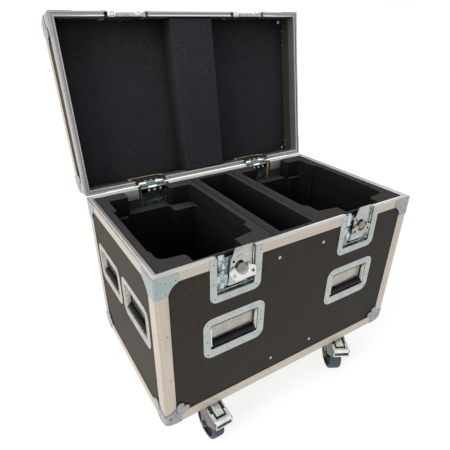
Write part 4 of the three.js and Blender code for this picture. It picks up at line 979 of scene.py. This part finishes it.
def caster(name, sx, sy, degrees, pedal):
    """A swivel caster: bolted plate with a ball race, fork, and tyre on a core. The front ones have a
    brake pedal."""
    title, place = f"caster_{name}", (sx * CASTER_X, sy * CASTER_Y, UNDERSIDE)
    spot = {"place": place, "turn": turning("Z", degrees)}
    base = moved([plate(rounded_box(-50, 50, -42.5, 42.5, 6, 6), -0.3, -3.3, 0.5)], turn=LEVEL)
    base.append(lathe([(0.2, -3), (31, -3), (30.6, -4.2), (29, -5.4), (29, -6.6), (30.6, -8), (30.6, -10),
                       (29.4, -11.2), (0.2, -11.2)], 56, "z"))
    nut = [(0.2, -4.4), (6, -4.4), (6.4, -5), (6.4, -8.6), (5.6, -9.4), (0.2, -9.4)]
    for bolt in ((-38, -30), (38, -30), (-38, 30), (38, 30)):
        base += [rod(8.4, -3.2, -4.4, 24, "z", bolt), lathe(nut, 6, "z", bolt)]
    # painted shade: the top plate in the dark shaded copy of the zinc
    piece(f"{title}_top_plate", "case", base, SHADE_ZINC, f"{title}_plate", place=place)

    crown = lathe([(0.2, -11.8), (24, -11.8), (26.4, -12.6), (27, -14), (26.4, -16.6), (24, -17.6),
                   (0.2, -17.6)], 56, "z")
    cheek = softened(np.concatenate([
        [(19.6, -16.9), (-23.6, -16.9), (-33, -50), (-45, -86)], arc((TRAIL, AXLE), 12, 160, 372, 18),
        [(-25, -80), (-6, -46), (13, -25)]]), 1.5, 2)
    nut = lathe([(0.2, 23.3), (7.6, 23.3), (8, 23.8), (8, 26.6), (7.2, 27.4), (0.2, 27.4)], 6, "x",
                (TRAIL, AXLE))
    pin = lathe([(0.2, 20), (2.5, 20), (2.5, 26.6), (2.2, 27.2), (0.2, 27.4)], 18, "x", (-18, -24))
    yoke = [crown, *both_sides(moved([plate(cheek, 20.6, 23.4, 0.8)], turn=SIDEWAYS) + [nut, pin]),
            rod(5, -24, 24, 24, "x", (TRAIL, AXLE))]
    piece(f"{title}_yoke", f"swivel_{name}", yoke, SHADED_FORK_ZINC, f"{title}_fork", **spot)

    tyre = disc([(41.2, 17.3), (46.6, 17.5), (48.3, 16.8), (49.4, 15.2), (49.85, 12), (49.95, 6)], [(50, 0)])
    core = disc([(5.4, 19.4), (12.6, 19.4), (14, 18.8), (14.6, 14), (17, 12.4), (35, 12.4), (37.4, 14),
                 (38, 16.4), (39, 17.2), (41.4, 17.2)])
    for part, skin, finish in (("tyre", tyre, TYRE), ("core", core, CORE)):
        piece(f"{title}_{part}", f"wheel_{name}", [skin], finish, f"{title}_wheel", "caster_rubber", **spot)
    if not pedal:
        return
    strips = [pedal_strip(-half, half, s0, s1, lift) for half, s0, s1, lift in (
        (PEDAL_HALF, 0, 0.07, 0), (11.5, 0.1, 0.62, 3.0), (PEDAL_HALF, 0.68, 0.84, 0.3),
        (PEDAL_HALF, 0.965, 1, 0))]
    for side in (-1, 1):
        for inner, s0, s1, lift in ((21.5, 0.05, 0.7, 0), (16.5, 0.5, 0.68, 1.2), (22.5, 0.83, 0.97, 0)):
            strips.append(pedal_strip(*sorted((side * inner, side * PEDAL_HALF)), s0, s1, lift))
    flank = softened([(-12, -20), (-33, -12.6), (-60, -19.6), (-115, -25.8), (-115.6, -46.8), (-105, -55.6),
                      (-66, -83.4), (-46, -62), (-14, -31)], [3, 4, 8, 3, 3, 4, 4, 14, 3], 4)
    flanks = both_sides(moved([plate(flank, 24.1, PEDAL_HALF, 0.6)], turn=SIDEWAYS))
    # painted shade: dark strips under the pedal, put where shade falls
    well = [pedal_strip(-23.4, 23.4, 0.83, 0.975, -1.6), pedal_strip(-22, 22, 0.06, 0.69, -5)]
    for part, skins, finish in (("", strips, LIT_PEDAL_ZINC), ("_flanks", flanks, SHADED_FORK_ZINC),
                                ("_well", well, SHADE_ZINC)):
        piece(f"{title}_pedal{part}", f"pedal_{name}", skins, finish, f"{title}_brake_pedal", **spot)


# Foam

def foam(name, body, layers, finish, node, mirror=1):
    """Foam cut in flat layers: each is an outline with holes between two heights, with soft edges."""
    skins = [plate(outline, low, high, edge, holes, 4) for outline, holes, low, high, edge in layers]
    made = piece(name, body, skins, finish, node, "foam", turn=LEVEL, scale=(mirror, 1, 1), sharp=50)


def box_outline(half_x, half_y, radius=1.5):
    """A rectangle about the middle with small round corners, from above."""
    return rounded_box(-half_x, half_x, -half_y, half_y, radius, radius, 3)


FOAM_TOP, WALL_FOOT, STEP_TOP = RIM - 2, UNDERSIDE + 14.1, RIM - 60
FOAM_Y, NEST_OUTER, NEST_INNER = 218.9, -384, -77.4
NEST_HOLE = softened([
    (-295, -211), (-168, -211), (-168, -178), (-108, -167), (-108, -127), (-94, -121), (-94, 142),
    (-168, 142), (-168, 186), (-304, 186), (-304, 168), (-353, 168), (-353, 110), (-364, 110), (-364, -126),
    (-359, -132), (-359, -172), (-295, -178)],
    [3, 3, 3, 3, 3, 3, 18, 5, 8, 8, 5, 5, 8, 8, 4, 3, 24, 12], 6)
# The top layer is open at the back, where it is cut back under the hinge
NEST_TOP = softened([
    (NEST_OUTER, -FOAM_Y), (NEST_INNER, -FOAM_Y), (NEST_INNER, FOAM_Y), (-164, FOAM_Y), (-164, 182),
    (-94, 182), (-94, -121), (-108, -127), (-108, -167), (-168, -178), (-168, -211), (-295, -211),
    (-295, -178), (-359, -172), (-359, -132), (-364, -126), (-364, 110), (-353, 110), (-353, 182),
    (-296, 182), (-296, FOAM_Y), (NEST_OUTER, FOAM_Y)],
    [1.5, 1.5, 1.5, 3, 4, 16, 3, 3, 3, 3, 3, 3, 12, 24, 3, 4, 8, 8, 10, 4, 3, 1.5], 6)

for name, side in SIDES:
    rect = rounded_box(NEST_OUTER, NEST_INNER, -FOAM_Y, FOAM_Y, 1.5, 1.5, 3)
    foam(f"foam_{name}_nest", "case", [
        (rect, [], WALL_FOOT, WALL_FOOT + 20, 0.6),
        (rect, [NEST_HOLE], WALL_FOOT + 20, STEP_TOP, 0.5),
        (NEST_TOP, [], STEP_TOP - 3, FOAM_TOP, 2.2)], FOAM_BASE, f"foam_{name}_insert", -side)
middle, hollow = box_outline(66.6, FOAM_Y), box_outline(52.7, 204.9, 3)
foam("foam_centre_trough", "case", [
    (middle, [], WALL_FOOT, WALL_FOOT + 14, 0.6),
    (middle, [hollow], WALL_FOOT + 14, FOAM_TOP, 2.2)], FOAM_BASE, "foam_centre_liner")
foam("foam_lid_liner", "lid", [(box_outline(388.8, 223.8), [], LID_RIM + 70, LID_TOP - 11.2, 2)], FOAM_LID,
     "lid_foam_liner")
foam("foam_lid_band", "lid", [(box_outline(68.5, 220.8), [], LID_RIM + 6, LID_RIM + 69.8, 2.4)], FOAM_LID,
     "lid_foam_band")


# The base and the lid

def level_board(name, body, low, thick, node):
    """The flat board of the floor or the lid, its corners cut to clear the ball corners."""
    x, y, cut = HALF_WIDTH - 1.8, HALF_DEPTH - 1.8, 17
    outline = np.array([(cut - x, -y), (x - cut, -y), (x, cut - y), (x, y - cut), (x - cut, y), (cut - x, y),
                        (-x, y - cut), (-x, cut - y)])
    piece(name, body, [plate(outline, low, low + thick, 0.2)], LAMINATE, node, "laminate", turn=LEVEL)


level_board("base_floor_board", "case", UNDERSIDE + 1.8, 12, "base_floor_panel")
level_board("lid_top_board", "lid", LID_TOP - 10.8, 9, "lid_top_panel")
for name, sx, sy in CORNERS:
    upright(f"base_{name}_angle", "case", sx, sy, UNDERSIDE + 37, RIM - 24.3)
    brace(f"base_{name}_brace", "case", sx, sy)
    ball_corner(f"base_{name}_ball_corner", "case", sx, sy, UNDERSIDE, 1)
    brace(f"lid_{name}_brace", "lid", sx, sy)
    upright(f"lid_{name}_angle", "lid", sx, sy, LID_RIM + 30.3, LID_TOP - 37)
    ball_corner(f"lid_{name}_ball_corner", "lid", sx, sy, LID_TOP, -1)
edge_rails("base_foot", "case", UNDERSIDE, 1)
edge_rails("lid_top", "lid", LID_TOP, -1)
rims("base", "case", RIM, BASE_FLANGE, ALUMINIUM, BASE_BODY, BASE_RIM, (252, 250, 144))
rims("lid", "lid", LID_RIM, LID_FLANGE, COOL_ALUMINIUM, LID_BODY, LID_RIM_METAL, (260, 250, 136))

FACE_X, FACE_Y, FOOT_RIVETS = HALF_WIDTH + 0.05, HALF_DEPTH + 0.05, UNDERSIDE + 24
rivets = []
for sx in (-1, 1):
    for drop in (160, 298):
        for sy in (-1, 1):
            rivets.append(dome((sx * 377.3, sy * FACE_Y, RIM - drop), (0, sy, 0), 4.2, 0.9, 18))
            rivets.append(dome((sx * FACE_X, sy * 214.4, RIM - drop - 1.5), (sx, 0, 0), 3.6, 0.9, 18))
    rivets += [dome((sx * x, sy * FACE_Y, FOOT_RIVETS), (0, sy, 0), 3.4, 0.9)
               for x in (75, 224) for sy in (-1, 1)]
    rivets += [dome((sx * FACE_X, y, FOOT_RIVETS), (sx, 0, 0), 3.4, 0.9) for y in (-80, 80)]
piece("base_angle_rivets", "case", rivets, RIVET, "base_edge_frame", EXTRUDED)
bolts = [dome((sx * 72, sy * (HALF_DEPTH - 1.8), RIM - drop), (0, sy, 0), 4.8, 2.2, 20)
         for sx in (-1, 1) for sy in (-1, 1) for drop in (56, 390)]
piece("divider_bolt_heads", "case", bolts, ZINC)
inner, deep = 10.8, LID_RIM + 64
rivets = [dome((x, inner - HALF_DEPTH, deep), (0, 1, 0), 2.6, 1) for x in (-359, -257, 166, 239, 331)]
rivets += [dome((x, HALF_DEPTH - inner, deep), (0, -1, 0), 2.6, 1) for x in (-354, -254, 254, 354)]
rivets += [dome((sx * (HALF_WIDTH - inner), y, deep), (-sx, 0, 0), 2.6, 1)
           for sx in (-1, 1) for y in (-187, -142, 192, 206)]
piece("lid_inner_rivets", "lid", rivets, ALUMINIUM)

for name, side in SIDES:
    latch(name, side * LATCH_X, 40 if name == "left" else 0)
    catch(name, side * LATCH_X)
    hinge_leaf(f"hinge_{name}_base", "case", side * HINGE_X, 78, 62)
    hinge_leaf(f"hinge_{name}_lid", "lid", side * HINGE_X, 58, 44)
    handle(f"handle_front_{name}", f"bail_front_{name}",
           (side * FRONT_HANDLE_X, -HALF_DEPTH, RIM - FRONT_HANDLE_DROP), None)
    for end, sy in ENDS:
        handle(f"handle_{name}_{end}", f"bail_{name}_{end}",
               (side * HALF_WIDTH, sy * SIDE_HANDLE_Y, RIM - SIDE_HANDLE_DROP), turning("Z", side * 90))
for (name, sx, sy), degrees in zip(CORNERS, (0, -28, 180, 180)):
    caster(name, sx, sy, degrees, sy < 0)


# Floor, lights and camera

def seen(tree):
    """1 for rays from the camera, also by way of gloss and glass, and 0 for the light on the case."""
    path = tree.nodes.new("ShaderNodeLightPath")
    eye, gloss, glass = (Wire(tree, path.outputs[f"Is {kind} Ray"])
                         for kind in ("Camera", "Glossy", "Transmission"))
    return (eye + gloss + glass).clamped()


def stage_finish(name):
    """A pale surface that reads as white, fully so far from the case, and keeps its soft shadow near it."""
    f = Finish(name, specular=0.1)
    colour = f.mix(f.noise(3, 3, 0.5), (0.82, 0.82, 0.82), (0.85, 0.85, 0.85))
    connect(f.tree, colour, f.shader.inputs["Base Color"])
    f.shader.inputs["Roughness"].default_value = 0.9
    away = f.add("ShaderNodeVectorMath", "Value", {"operation": "LENGTH"}, _0=f.place)
    glow = f.add("ShaderNodeEmission", Color=(1, 1, 1), Strength=1.1)
    blend = f.add("ShaderNodeMixShader", _0=seen(f.tree) * (0.76 + f.band(away, 0.9, 2.2) * 0.24),
                  _1=Wire(f.tree, f.shader.outputs[0]), _2=glow)
    connect(f.tree, blend, f.tree.nodes["Material Output"].inputs[0])
    return f.material


def stage_floor():
    """A wide level floor under the wheels: a grid of squares at height 0."""
    x, y = np.meshgrid(*[np.linspace(-9000, 9000, 13)] * 2)
    grid = np.stack([x, y, np.zeros_like(x)], axis=-1)
    points, faces, _ = sheet(grid, grid - (0, 0, 20))
    mesh = bpy.data.meshes.new("studio_floor")
    mesh.from_pydata((points * MM).tolist(), [], faces)
    mesh.materials.append(stage_finish("studio_floor"))
    placed("studio_floor", mesh)


def studio_world():
    """Soft white surroundings, seen at full white by camera and mirror rays."""
    world = bpy.data.worlds.new("studio")
    world.use_nodes = True
    back = world.node_tree.nodes["Background"]
    connect(world.node_tree, seen(world.node_tree) * 0.55 + 0.45, back.inputs["Strength"])
    connect(world.node_tree, (1, 1, 1), back.inputs["Color"])
    bpy.context.scene.world = world


def camera():
    """The photograph's camera: 31.3 mm lens on a 36 mm square frame, its centre slightly shifted."""
    data = bpy.data.cameras.new("camera")
    data.lens, data.sensor_width, data.shift_x, data.shift_y = 31.3, 36, 0.0189, 0.0189
    made = placed("camera", data)
    ahead = Vector((0.454, 0.749, -0.483)).normalized()
    right = Vector((0.855, -0.518, 0.0)).normalized()
    turn = Matrix((right, right.cross(ahead), -ahead)).transposed().to_4x4()
    made.matrix_world = Matrix.Translation((-0.616, -0.836, 1.063)) @ turn
    bpy.context.scene.camera = made


def softbox(name, place, target, width, height, watts, tint=(1, 1, 1)):
    """A rectangular lamp that looks at a point."""
    lamp = bpy.data.lights.new(name, "AREA")
    lamp.shape, lamp.size, lamp.size_y, lamp.energy, lamp.color = "RECTANGLE", width, height, watts, tint
    made = placed(name, lamp)
    made.location = place
    made.rotation_euler = (Vector(target) - Vector(place)).to_track_quat("-Z", "Y").to_euler()
    made.visible_glossy = False


stage_floor()
studio_world()
camera()
softbox("left_softbox", (-3.1, -0.6, 1.9), (0, 0, 0.45), 2.2, 1.8, 150, (1, 0.935, 0.85))
softbox("top_softbox", (-0.3, 0.0, 3.5), (0, 0, 0.4), 2.4, 2.4, 55)
softbox("front_softbox", (0.6, -3.2, 1.9), (0, 0, 0.45), 2.0, 1.6, 11)
bpy.context.scene.view_settings.view_transform = "Standard"
